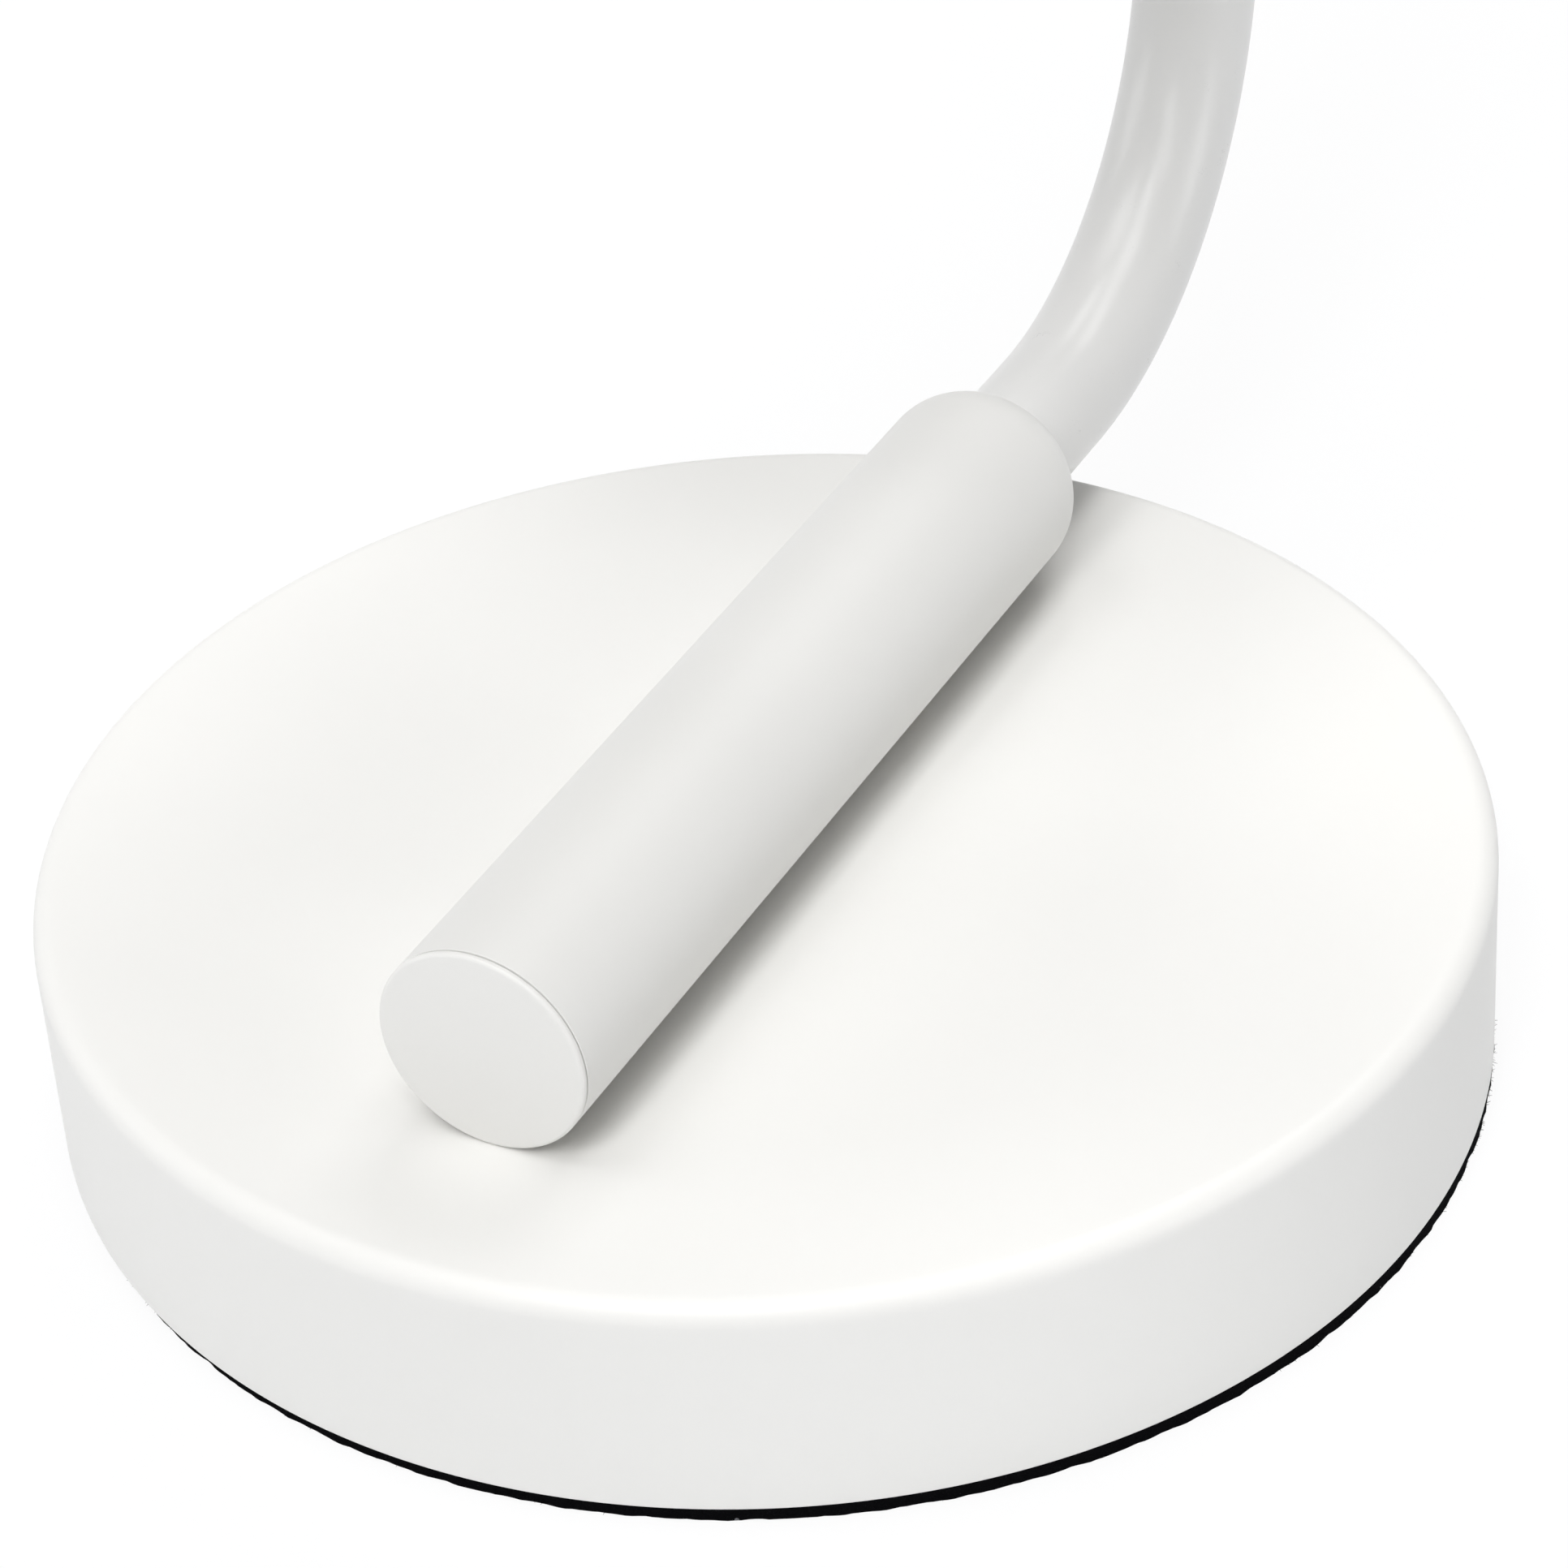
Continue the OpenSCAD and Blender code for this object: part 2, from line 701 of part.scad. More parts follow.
// The lampholder screws onto the ferrule by its collar, and its skirt carries the shade's ring
module lampholder() {
    color("#ececea") in_head() difference() {
        union() {
            translate([0, 0, holder_at]) cylinder(h = holder_collar_l + seat, r = holder_collar_r);
            translate([0, 0, holder_at + holder_collar_l])
                cylinder(h = holder_cone_l, r1 = holder_collar_r, r2 = holder_r);
            translate([0, 0, holder_floor]) cylinder(h = holder_end - holder_floor, r = holder_r);
        }
        translate([0, 0, holder_at - overshoot])
            cylinder(h = holder_collar_l + overshoot + seat, r = ferrule_r + thread_fit);
        translate([0, 0, holder_at]) cylinder(h = holder_end, r = lead_r + overshoot);
        translate([0, 0, holder_floor]) cylinder(h = holder_end, r = holder_bore_r);
    }
}

module holder_contact() {
    color("goldenrod") in_head() translate([0, 0, holder_floor + seat]) {
        cylinder(h = contact_t - seat, r = contact_r);
        translate([contact_r - 1, -1.5, 0]) cube([holder_bore_r - contact_r, 3, contact_t / 2]);
    }
}

// The outline of the shade, turned about its axis, shrunk inwards by a distance
module flare(inset, extra) {
    nx = cos(flare_angle);
    nz = sin(flare_angle);
    r = shade_shoulder_r - inset;
    edge_x = shade_top_d / 2 - inset / nx + (shade_l + extra) * tan(flare_angle);
    rotate_extrude() {
        polygon([
            [0, shoulder_z - r],
            [shoulder_x, shoulder_z - r],
            [shoulder_x + r * nx, shoulder_z - r * nz],
            [edge_x, mouth_z + extra],
            [0, mouth_z + extra]
        ]);
        translate([shoulder_x, shoulder_z]) circle(r);
    }
}

module shade() {
    color("white") in_head() {
        difference() {
            union() {
                flare(0, 0);
                translate([0, 0, mouth_z])
                    rotate_extrude() translate([shade_mouth_d / 2 - shade_wall / 2, 0]) circle(bead_r);
            }
            flare(shade_wall, 2 * bead_r);
            translate([0, 0, head_l - overshoot])
                cylinder(h = shade_wall + 2 * overshoot, r = holder_r + slide_fit);
        }
    }
}

// The threaded ring that clamps the shade against the housing, with grip notches round its edge
module shade_ring() {
    color("#ececea") in_head() translate([0, 0, head_l + shade_wall + seat]) difference() {
        ring(ring_r, holder_r + thread_fit, ring_t);
        for (a = [0:360 / ring_notches:359])
            rotate(a) translate([ring_r, 0, -overshoot]) cylinder(h = ring_t + 2 * overshoot, r = ring_notch_r);
    }
}

// The bulb's screw cap, with its foot contact
module bulb_cap() {
    color("silver") in_head() {
        translate([0, 0, bulb_foot]) cylinder(h = cap_foot_l, r1 = cap_foot_r, r2 = bulb_cap_d / 2 - cap_foot_inset);
        translate([0, 0, bulb_foot + cap_foot_l])
            cylinder(h = bulb_neck_at - bulb_foot - cap_foot_l, r = bulb_cap_d / 2);
    }
}

module bulb_globe() {
    color([0.95, 0.95, 0.92, 0.8]) in_head() difference() {
        glass_form(0);
        glass_form(glass_t);
    }
}

// The globe and its tapered neck with the soft hollow between them, shrunk inwards by a distance
module glass_form(inset) {
    ball = globe_r - inset;
    hollow = bulb_hollow_r + inset;
    middle = [0, globe_at];
    foot = [bulb_neck_r - inset, bulb_neck_at + seat];
    side = [bulb_shoulder_r - bulb_neck_r, bulb_shoulder_at - foot[1]];
    run = side / norm(side);
    out = [run[1], -run[0]];
    // The hollow's circle touches the neck's side and the globe
    gap = foot + hollow * out - middle;
    reach = -run * gap - sqrt((run * gap) ^ 2 - gap * gap + (ball + hollow) ^ 2);
    centre = foot + reach * run + hollow * out;
    touch = centre - hollow * out;
    meet = middle + (centre - middle) * ball / (ball + hollow);
    below = inset > 0 ? overshoot : 0;
    rotate_extrude() difference() {
        polygon([
            [0, foot[1] - below], [foot[0], foot[1] - below], foot, touch, centre, meet, middle
        ]);
        translate(centre) circle(hollow);
    }
    translate([0, 0, globe_at]) sphere(ball);
}

// ---- Output ----

base_pad();
bottom_plate();
plate_screws();
base_cover();
ballast();
cord_grommet();
terminal_block();
barrel();
nut_bar();
barrel_screws();
barrel_washers();
wire_nipple();
nipple_nut();
switch_guide();
push_switch();
neck_lead();
switch_lead();
barrel_plug();
lower_ferrule();
lower_lock_nut();
switch_cap();
cap_clip();
switch_plunger();
for (k = [0:LAST_LINK]) neck_core(k);
for (k = [0:LAST_LINK]) neck_sleeve(k);
head_housing();
head_plug();
upper_ferrule();
upper_lock_nut();
lampholder();
holder_contact();
shade();
shade_ring();
bulb_cap();
bulb_globe();
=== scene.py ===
"""Looks of a gooseneck desk lamp: a coated base on a felt pad, a barrel with a push switch, a smooth
flexible neck, a lampholder housing, a spun shade and a screw-in bulb.

Lengths are in metres in the model's own frame. The desk is z = 0, the switch faces -Y and the neck
leaves the barrel towards +Y.
"""

import json
from math import acos, atan2, cos, degrees, pi, radians, sin, sqrt, tan

import bmesh
import bpy
from bpy.props import FloatProperty, FloatVectorProperty, IntProperty, PointerProperty
from bpy.types import Operator, Panel, PropertyGroup
from mathutils import Matrix, Vector


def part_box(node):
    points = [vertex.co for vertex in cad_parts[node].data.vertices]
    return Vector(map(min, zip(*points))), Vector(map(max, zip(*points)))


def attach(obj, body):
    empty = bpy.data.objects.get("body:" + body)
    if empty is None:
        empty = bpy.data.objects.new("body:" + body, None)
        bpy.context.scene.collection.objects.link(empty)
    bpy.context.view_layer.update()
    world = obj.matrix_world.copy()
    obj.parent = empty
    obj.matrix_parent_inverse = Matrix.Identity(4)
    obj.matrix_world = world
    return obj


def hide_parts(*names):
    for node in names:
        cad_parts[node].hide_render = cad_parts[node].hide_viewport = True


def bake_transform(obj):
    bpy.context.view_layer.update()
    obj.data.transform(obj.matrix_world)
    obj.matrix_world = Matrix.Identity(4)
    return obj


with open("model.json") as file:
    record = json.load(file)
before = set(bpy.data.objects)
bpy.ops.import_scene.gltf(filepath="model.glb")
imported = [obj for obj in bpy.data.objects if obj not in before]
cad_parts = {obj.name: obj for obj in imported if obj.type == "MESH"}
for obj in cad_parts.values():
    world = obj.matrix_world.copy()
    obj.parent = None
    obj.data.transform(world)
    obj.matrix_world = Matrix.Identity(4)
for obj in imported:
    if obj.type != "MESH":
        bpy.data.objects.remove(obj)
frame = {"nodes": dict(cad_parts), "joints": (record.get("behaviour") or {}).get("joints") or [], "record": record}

bl_info = {
    "name": "Gooseneck Desk Lamp",
    "version": (1, 0, 0),
    "blender": (4, 5, 0),
    "location": "View3D > Sidebar > Desk Lamp",
    "description": "Builds the coated, sleeved and spun pieces of a gooseneck desk lamp",
    "category": "Object",
}

MM = 0.001

# What the solids say: the base's radius and top, the barrel's line and what bends at each hinge
COVER_LOW, COVER_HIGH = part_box("base_cover")
BARREL_LOW, BARREL_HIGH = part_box("barrel")
CAP_LOW, CAP_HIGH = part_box("switch_cap")
BASE_RADIUS = COVER_HIGH[1]
DECK_Z = COVER_HIGH[2]
BARREL_RADIUS = BARREL_HIGH[0]
BARREL_Z = BARREL_HIGH[2] - BARREL_RADIUS
HINGES = [j for j in frame["joints"] if j["type"] == "hinge"]
NECK_BODIES = ["base"] + [j["child"] for j in HINGES]

# The barrel with its cap, and where the neck leaves it
BARREL_LENGTH = 144.5 * MM
BARREL_REAR = CAP_LOW[1] + BARREL_LENGTH

# The studio's soft panels: name, azimuth and height in degrees, width and depth in metres, watts
LAMP_DISTANCE = 6.0
HORIZON = (0.80, 0.805, 0.81)
STUDIO = (
    ("key panel", 5, 57, 1.0, 1.0, 71),
    ("front panel", 10, 45, 2.0, 2.0, 120),
    ("upper front panel", 20, 68, 1.2, 1.2, 35),
    ("right ceiling", 90, 80, 2.4, 2.4, 74),
    ("left ceiling", 300, 70, 2.4, 2.4, 53),
    ("left panel", 270, 60, 2.4, 2.4, 26),
    ("rear panel", 180, 60, 3.2, 3.2, 131),
    ("low left panel", 290, 20, 3.5, 2.4, 46),
    ("low right panel", 90, 12, 3.5, 2.0, 52),
    ("small right lamp", 40, 50, 0.45, 0.45, 13),
)


# ---- Node trees written as expressions ----


class Value:
    """A socket of a node tree. Sums and products with it add the Math nodes that work them out."""

    def __init__(self, tree, socket):
        self.tree = tree
        self.socket = socket

    def math(self, operation, *others):
        values = dict(enumerate((self,) + others))
        return self.tree.node("ShaderNodeMath", {"operation": operation}, values)

    def __add__(self, other):
        return self.math("ADD", other)

    def __sub__(self, other):
        return self.math("SUBTRACT", other)

    def __mul__(self, other):
        return self.math("MULTIPLY", other)

    def __truediv__(self, other):
        return self.math("DIVIDE", other)

    def __rsub__(self, other):
        return self.tree.node("ShaderNodeMath", {"operation": "SUBTRACT"}, {0: other, 1: self})

    __radd__ = __add__
    __rmul__ = __mul__

    def clamped(self):
        return self.math("MAXIMUM", 0.0).math("MINIMUM", 1.0)


class Tree:
    """Adds nodes to a shader or geometry tree and wires them."""

    def __init__(self, node_tree):
        self.nodes = node_tree.nodes
        self.links = node_tree.links

    def node(self, kind, settings=None, inputs=None, output=0):
        made = self.nodes.new(kind)
        for name, value in (settings or {}).items():
            setattr(made, name, value)
        for name, value in (inputs or {}).items():
            self.feed(made.inputs[name], value)
        return Value(self, made.outputs[output])

    def feed(self, socket, value):
        if isinstance(value, Value):
            self.links.new(value.socket, socket)
        else:
            socket.default_value = value

    def vector(self, x, y, z):
        return self.node("ShaderNodeCombineXYZ", {}, {0: x, 1: y, 2: z})


class Finish(Tree):
    """A material with one Principled shader, and the patterns that its finishes are made from."""

    def __init__(self, name, colour, roughness, metallic=0.0, **uniform):
        self.material = bpy.data.materials.new(name)
        self.material.use_nodes = True
        super().__init__(self.material.node_tree)
        self.colour = colour
        self.shader = self.nodes["Principled BSDF"]
        self.set("Base Color", (*colour, 1))
        self.set("Roughness", roughness)
        self.set("Metallic", metallic)
        for socket, value in uniform.items():
            self.set(socket.replace("_", " "), value)
        self.place = self.node("ShaderNodeTexCoord", output=3)

    def set(self, socket, value):
        self.feed(self.shader.inputs[socket], value)

    def stretched(self, x, y, z):
        """Object coordinates squeezed along each axis, for patterns with a grain."""
        scaled = {0: self.place, 1: (x, y, z)}
        return self.node("ShaderNodeVectorMath", {"operation": "MULTIPLY"}, scaled)

    def noise(self, size, detail=2.0, roughness=0.5, place=None):
        """Cloudy variation from 0 to 1, whose patches are about that size across."""
        inputs = {"Vector": place or self.place, "Scale": 1 / size}
        inputs.update({"Detail": detail, "Roughness": roughness})
        return self.node("ShaderNodeTexNoise", {"noise_dimensions": "3D"}, inputs)

    def specks(self, spacing, share, radius):
        """1 in round specks of that radius, on a share of cells of that spacing, and 0 elsewhere."""
        cells = {"voronoi_dimensions": "3D", "feature": "F1"}
        inputs = {"Vector": self.place, "Scale": 1 / spacing, "Randomness": 1.0}
        near, chance = (self.node("ShaderNodeTexVoronoi", cells, inputs, n) for n in (0, 1))
        chosen = self.node("ShaderNodeSeparateColor", {}, {0: chance}).math("LESS_THAN", share)
        return chosen * near.math("LESS_THAN", radius / spacing)

    def mix(self, factor, first, second):
        """The first colour at 0 and the second at 1."""
        kind = {"data_type": "RGBA", "blend_type": "MIX"}
        return self.node("ShaderNodeMix", kind, {0: factor, 6: first, 7: second}, output=2)

    def tones(self, factor, darker, lighter):
        """The finish's own colour, times the first number at 0 and the second at 1."""
        ends = [(*(min(1.0, c * k) for c in self.colour), 1) for k in (darker, lighter)]
        return self.mix(factor, *ends)

    def bump(self, height, depth):
        inputs = {"Height": height, "Distance": depth, "Strength": 1.0}
        self.set("Normal", self.node("ShaderNodeBump", {}, inputs))


def seen_directly(tree):
    """1 where the camera sees a surface, also in a mirror or through glass, and 0 for other light."""
    rays = ("Is Camera Ray", "Is Glossy Ray", "Is Transmission Ray")
    camera, mirror, glass = (tree.node("ShaderNodeLightPath", output=ray) for ray in rays)
    return (camera + mirror + glass).clamped()


# ---- Finishes ----


def powder_coat(name, colour, roughness=0.46):
    """Baked powder coat: a fine orange peel, slightly uneven gloss and a few specks of dust."""
    f = Finish(name, colour, roughness, Specular_IOR_Level=0.42)
    peel = f.noise(0.9 * MM, detail=3.0, roughness=0.55)
    grain = f.noise(0.16 * MM, detail=1.0)
    dust = f.specks(9 * MM, 0.16, 0.16 * MM)
    cloud = f.noise(42 * MM, detail=3.0)
    f.set("Base Color", f.tones((cloud * 0.5 + grain * 0.5).clamped(), 0.982, 1.012))
    f.set("Roughness", (roughness + (peel - 0.5) * 0.10 + (cloud - 0.5) * 0.06).clamped())
    f.bump(peel * 0.75 + grain * 0.22 - dust * 0.9, 0.013 * MM)
    return f.material


def satin_sleeve(name, colour):
    """Extruded sleeve: smooth and satin, with faint draw lines and dust clinging to it."""
    f = Finish(name, colour, 0.3, Specular_IOR_Level=0.5)
    waviness = f.noise(5 * MM)
    fine = f.noise(0.22 * MM)
    dust = f.specks(7 * MM, 0.2, 0.12 * MM)
    f.set("Base Color", f.tones(f.noise(24 * MM), 0.975, 1.01))
    f.set("Roughness", (0.25 + waviness * 0.04 + fine * 0.03).clamped())
    f.bump(waviness * 0.35 + fine * 0.05 - dust * 0.5, 0.02 * MM)
    return f.material


def pressed_felt(name, colour):
    """Dark felt: matted fibres, with painted sheen making them paler where they stand up, and a little lint on it.
    """
    f = Finish(name, colour, 0.96, Specular_IOR_Level=0.02)
    fibres = f.noise(0.35 * MM, detail=5.0, roughness=0.7)
    clumps = f.noise(2.4 * MM, detail=3.0)
    lint = f.specks(2.6 * MM, 0.12, 0.3 * MM)
    # Painted sheen: the fibres' random tone also follows the bump's height, so raised fibres and clumps are paler.
    depth = (fibres * 0.7 + clumps * 0.3).clamped()
    lint_grey = (0.3, 0.3, 0.32, 1)
    f.set("Base Color", f.mix(lint * fibres, f.tones(depth, 0.55, 1.9), lint_grey))
    f.bump(fibres * 0.8 + clumps * 0.4, 0.25 * MM)
    return f.material


def worked_metal(name, colour, roughness, grain):
    """Plated or turned metal: fine tool marks across the grain's short side and handled patches."""
    f = Finish(name, colour, roughness, metallic=1.0)
    marks = f.noise(0.5 * MM, detail=3.0, place=f.stretched(*grain))
    patches = f.noise(6 * MM, detail=3.0)
    f.set("Base Color", f.tones((marks * 0.5 + patches * 0.5).clamped(), 0.86, 1.1))
    f.set("Roughness", (roughness - 0.08 + marks * 0.12 + patches * 0.08).clamped())
    f.bump(marks, 0.004 * MM)
    return f.material


def rough_casting(name, colour):
    """Sand casting under dark primer: a coarse skin with small pits."""
    f = Finish(name, colour, 0.72, Specular_IOR_Level=0.35)
    skin = f.noise(0.9 * MM, detail=5.0, roughness=0.65)
    pits = f.specks(4 * MM, 0.3, 0.7 * MM)
    f.set("Base Color", f.tones(skin, 0.7, 1.5))
    f.set("Roughness", (0.62 + skin * 0.25).clamped())
    f.bump(skin - pits * 0.8, 0.2 * MM)
    return f.material


def moulded(name, colour, roughness, texture=0.35 * MM):
    """Moulded plastic or rubber: a fine spark-eroded texture and slight flow marks."""
    f = Finish(name, colour, roughness)
    fine = f.noise(texture)
    flow = f.noise(9 * MM)
    f.set("Base Color", f.tones((fine * 0.4 + flow * 0.6).clamped(), 0.94, 1.04))
    f.set("Roughness", (roughness - 0.05 + fine * 0.08 + flow * 0.04).clamped())
    f.bump(fine, 0.008 * MM)
    return f.material


def opal_glass(name, colour):
    """Opal glass, softly glossy, a little uneven in its coating."""
    f = Finish(name, colour, 0.18, Coat_Weight=0.4, Coat_Roughness=0.08)
    cloud = f.noise(14 * MM, detail=3.0)
    f.set("Base Color", f.tones(cloud, 0.97, 1.02))
    f.set("Roughness", (0.16 + cloud * 0.08).clamped())
    f.bump(f.noise(3 * MM), 0.01 * MM)
    return f.material


# ---- Turned forms ----


def arc(centre, radius, start, end, steps):
    """Points [r, h] of an arc, its angles in degrees from +r towards +h."""
    turn = [radians(start + (end - start) * n / steps) for n in range(steps + 1)]
    return [(centre[0] + radius * cos(a), centre[1] + radius * sin(a)) for a in turn]


def rounded(corners, steps=8):
    """An outline [r, h] through corners [r, h, fillet], with each fillet as an arc.

    A point just before and after each arc keeps its shading off the flat stretch beside it."""
    line = []
    for n, (r, h, fillet) in enumerate(corners):
        here = Vector((r, h))
        if fillet == 0:
            line.append((r, h))
            continue
        before = Vector(corners[n - 1][:2]) - here
        after = Vector(corners[(n + 1) % len(corners)][:2]) - here
        half = before.angle(after) / 2
        reach = fillet / tan(half)
        one, two = before.normalized(), after.normalized()
        centre = here + (one + two).normalized() * fillet / sin(half)
        lead = min(0.25 * fillet, 0.3 * (before.length - reach), 0.3 * (after.length - reach))
        start = here + one * reach - centre
        sweep = start.angle_signed(here + two * reach - centre)
        line.append(tuple(here + one * (reach + lead)))
        for k in range(steps + 1):
            line.append(tuple(centre + start @ Matrix.Rotation(sweep * k / steps, 2)))
        line.append(tuple(here + two * (reach + lead)))
    return line


def turned(name, outline, sides, place=Matrix(), radial=None):
    """A form turned about its own Z from an outline [r, h]; the outline may start and end on it.

    radial(angle, r, h) may change a point's radius."""
    mesh = bmesh.new()
    rings = []
    for r, h in outline:
        on_axis = r < 1e-7
        ring = []
        for k in range(1 if on_axis else sides):
            a = 2 * pi * k / sides
            reach = radial(a, r, h) if radial and not on_axis else r
            ring.append(mesh.verts.new(place @ Vector((reach * cos(a), reach * sin(a), h))))
        rings.append(ring)
    pairs = list(zip(rings, rings[1:]))
    if len(rings[0]) > 1 and len(rings[-1]) > 1:
        pairs.append((rings[-1], rings[0]))
    for low, high in pairs:
        for k in range(sides):
            j = (k + 1) % sides
            corners = [low[k % len(low)], low[j % len(low)], high[j % len(high)], high[k % len(high)]]
            corners = list(dict.fromkeys(corners))
            if len(corners) > 2:
                mesh.faces.new(corners)
    bmesh.ops.recalc_face_normals(mesh, faces=mesh.faces)
    return piece_of(name, mesh)


def capped_tube(length, radius, wall, edge, hole, start=0.0, lip=0.22 * MM, mouth=None):
    """The outline [r, h] of a tube that is open at the start and has a rounded end with a hole.

    The lip is the fillet round its open end; mouth [r, h] widens the bore there down to h."""
    bore, bend = radius - wall, length - edge
    before_bend = bend - 0.4 * MM
    middle = (radius - edge, bend)
    outside = degrees(acos((hole - middle[0]) / edge))
    inside = degrees(acos((hole - middle[0]) / (edge - wall)))
    inner = [(bore, start, 0.1 * MM)]
    if mouth:
        wide, deep = mouth
        inner = [(bore, deep, 0.1 * MM), (wide, deep, 0.05 * MM), (wide, start, 0.05 * MM)]
    front = [(bore, bend, 0)] + inner + [(radius, start, lip), (radius, bend, 0)]
    shoulder = arc(middle, edge, 0, outside - 1.5, 22)
    eased = arc(middle, edge - 0.12 * MM, outside, outside, 1)[:1]
    back = arc(middle, edge - wall, inside, 0, 14)
    return (
        rounded(front)[1:-1] + [(radius, before_bend)] + shoulder + eased + back + [(bore, before_bend)]
    )


def thread(pitch, depth, start, end):
    """A screw thread for a turned form, as its radius, which sinks between the turns."""

    def radial(angle, r, h):
        if not start < h < end:
            return r
        fade = min(1.0, (h - start) / pitch, (end - h) / pitch)
        return r - depth * fade * (0.5 + 0.5 * cos(2 * pi * h / pitch - angle))

    return radial


def steps_between(first, last, count):
    """Points that divide a straight stretch of an outline into that many parts, ends left out."""
    parts = [n / count for n in range(1, count)]
    return [(first[0] + (last[0] - first[0]) * f, first[1] + (last[1] - first[1]) * f) for f in parts]


def drill(piece, *holes):
    """Cuts round holes [place, radius, length] in a piece; each runs along its place's +Z."""
    cutters = bmesh.new()
    for place, radius, length in holes:
        middle = place @ Matrix.Translation((0, 0, length / 2))
        size = {"radius1": radius, "radius2": radius, "depth": length}
        bmesh.ops.create_cone(cutters, cap_ends=True, segments=48, matrix=middle, **size)
    cutter = piece_of("drill", cutters)
    cut = piece.modifiers.new("holes", "BOOLEAN")
    cut.operation = "DIFFERENCE"
    cut.solver = "EXACT"
    cut.object = cutter
    graph = bpy.context.evaluated_depsgraph_get()
    name, solid = piece.name, piece.data
    piece.data = bpy.data.meshes.new_from_object(piece.evaluated_get(graph))
    piece.modifiers.clear()
    bpy.data.meshes.remove(solid)
    bpy.data.objects.remove(cutter)
    piece.data.name = name
    shade_smoothly(piece.data)


def put(name, data):
    """A new object in the scene."""
    made = bpy.data.objects.new(name, data)
    bpy.context.scene.collection.objects.link(made)
    return made


def piece_of(name, mesh):
    data = bpy.data.meshes.new(name)
    mesh.to_mesh(data)
    mesh.free()
    return place_piece(data)


def shade_smoothly(data, sharp_angle=38):
    data.shade_smooth()
    data.set_sharp_from_angle(angle=radians(sharp_angle))


def place_piece(data, sharp_angle=38):
    """Puts a mesh in the scene, at the origin and under its own name."""
    shade_smoothly(data, sharp_angle)
    return put(data.name, data)


def dress(piece, material, slot, body, *nodes):
    """Gives a piece its finish and the body that carries it, and hides the solids it stands for."""
    piece.data.materials.clear()
    piece.data.materials.append(material)
    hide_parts(*nodes)
    if body:
        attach(piece, body)


def towards_rear(y, z):
    """+Z runs to the rear from that place in the lamp's middle plane."""
    return Matrix.Translation((0, y, z)) @ Matrix.Rotation(radians(-90), 4, "X")


def fixing_holes(z, length):
    """The holes of the two screws and the nipple that hold the barrel down."""
    screws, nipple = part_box("barrel_washers"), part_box("wire_nipple")
    washer = screws[1][0]
    places = [
        (screws[0][1] + washer, 2.75 * MM),
        (screws[1][1] - washer, 2.75 * MM),
        ((nipple[0][1] + nipple[1][1]) / 2, nipple[1][0] + 0.1 * MM),
    ]
    return [(Matrix.Translation((0, y, z)), radius, length) for y, radius in places]


# ---- The neck's line ----


def neck_stretches(sizes):
    """The neck's line from the barrel's rear end: [length, bend radius or 0] of each stretch."""
    return [
        (sizes.lead_in, 0.0),
        (sizes.low_bend * pi / 2, sizes.low_bend),
        (sizes.rise, 0.0),
        (sizes.top_bend * radians(sizes.top_angle), sizes.top_bend),
        (sizes.lead_out, 0.0),
    ]


def neck_point(sizes, distance):
    """[y, z, slope] at a distance along the neck's line."""
    y, z, slope = BARREL_REAR, BARREL_Z, 0.0
    stretches = neck_stretches(sizes)
    for n, (length, radius) in enumerate(stretches):
        step = distance if n == len(stretches) - 1 else min(distance, length)
        if radius == 0:
            y += step * cos(slope)
            z += step * sin(slope)
        else:
            turn = slope + step / radius
            y += radius * (sin(turn) - sin(slope))
            z -= radius * (cos(turn) - cos(slope))
            slope = turn
        distance -= step
    return y, z, slope


def neck_hole(sizes):
    """The hole that the neck's sleeve goes through, with its clearance."""
    return sizes.neck_radius + 0.1 * MM


def neck_length(sizes):
    return sum(length for length, radius in neck_stretches(sizes))


def at_head(sizes):
    """+Z runs into the head from the end of the neck's line."""
    y, z, slope = neck_point(sizes, neck_length(sizes))
    return Matrix.Translation((0, y, z)) @ Matrix.Rotation(slope - pi / 2, 4, "X")


def hinge_distances(sizes):
    """How far along the neck's line each hinge is, found from where the hinges are."""
    found = []
    total = neck_length(sizes)
    steps = 4000
    line = [neck_point(sizes, total * n / steps) for n in range(steps + 1)]
    for hinge in HINGES:
        x, y, z = hinge["pos_m"]
        nearest = min(range(steps + 1), key=lambda n: (line[n][0] - y) ** 2 + (line[n][1] - z) ** 2)
        found.append(total * nearest / steps)
    return found


def new_tree(name, inputs):
    """An empty geometry tree with those inputs and a Finish, and how to reach them.

    inputs holds each one's default, a float or a whole number, or else its kind in words."""
    group = bpy.data.node_groups.new(name, "GeometryNodeTree")
    sockets = {}
    for title, value in {**inputs, "Finish": "Material"}.items():
        kind = value if isinstance(value, str) else {float: "Float", int: "Int"}[type(value)]
        socket = group.interface.new_socket(title, in_out="INPUT", socket_type="NodeSocket" + kind)
        if kind != value:
            socket.default_value = value
        sockets[title] = socket.identifier
    group.interface.new_socket("Geometry", in_out="OUTPUT", socket_type="NodeSocketGeometry")
    t = Tree(group)
    given = t.nodes.new("NodeGroupInput")
    return t, {s.name: Value(t, s) for s in given.outputs if s.name}, (group, sockets)


def close_tree(t, geometry, finish):
    """The end of a geometry tree: every instance made real, with its finish."""
    real = t.node("GeometryNodeRealizeInstances", {}, {"Geometry": geometry})
    coated = t.node("GeometryNodeSetMaterial", {}, {"Geometry": real, "Material": finish})
    t.links.new(coated.socket, t.nodes.new("NodeGroupOutput").inputs[0])


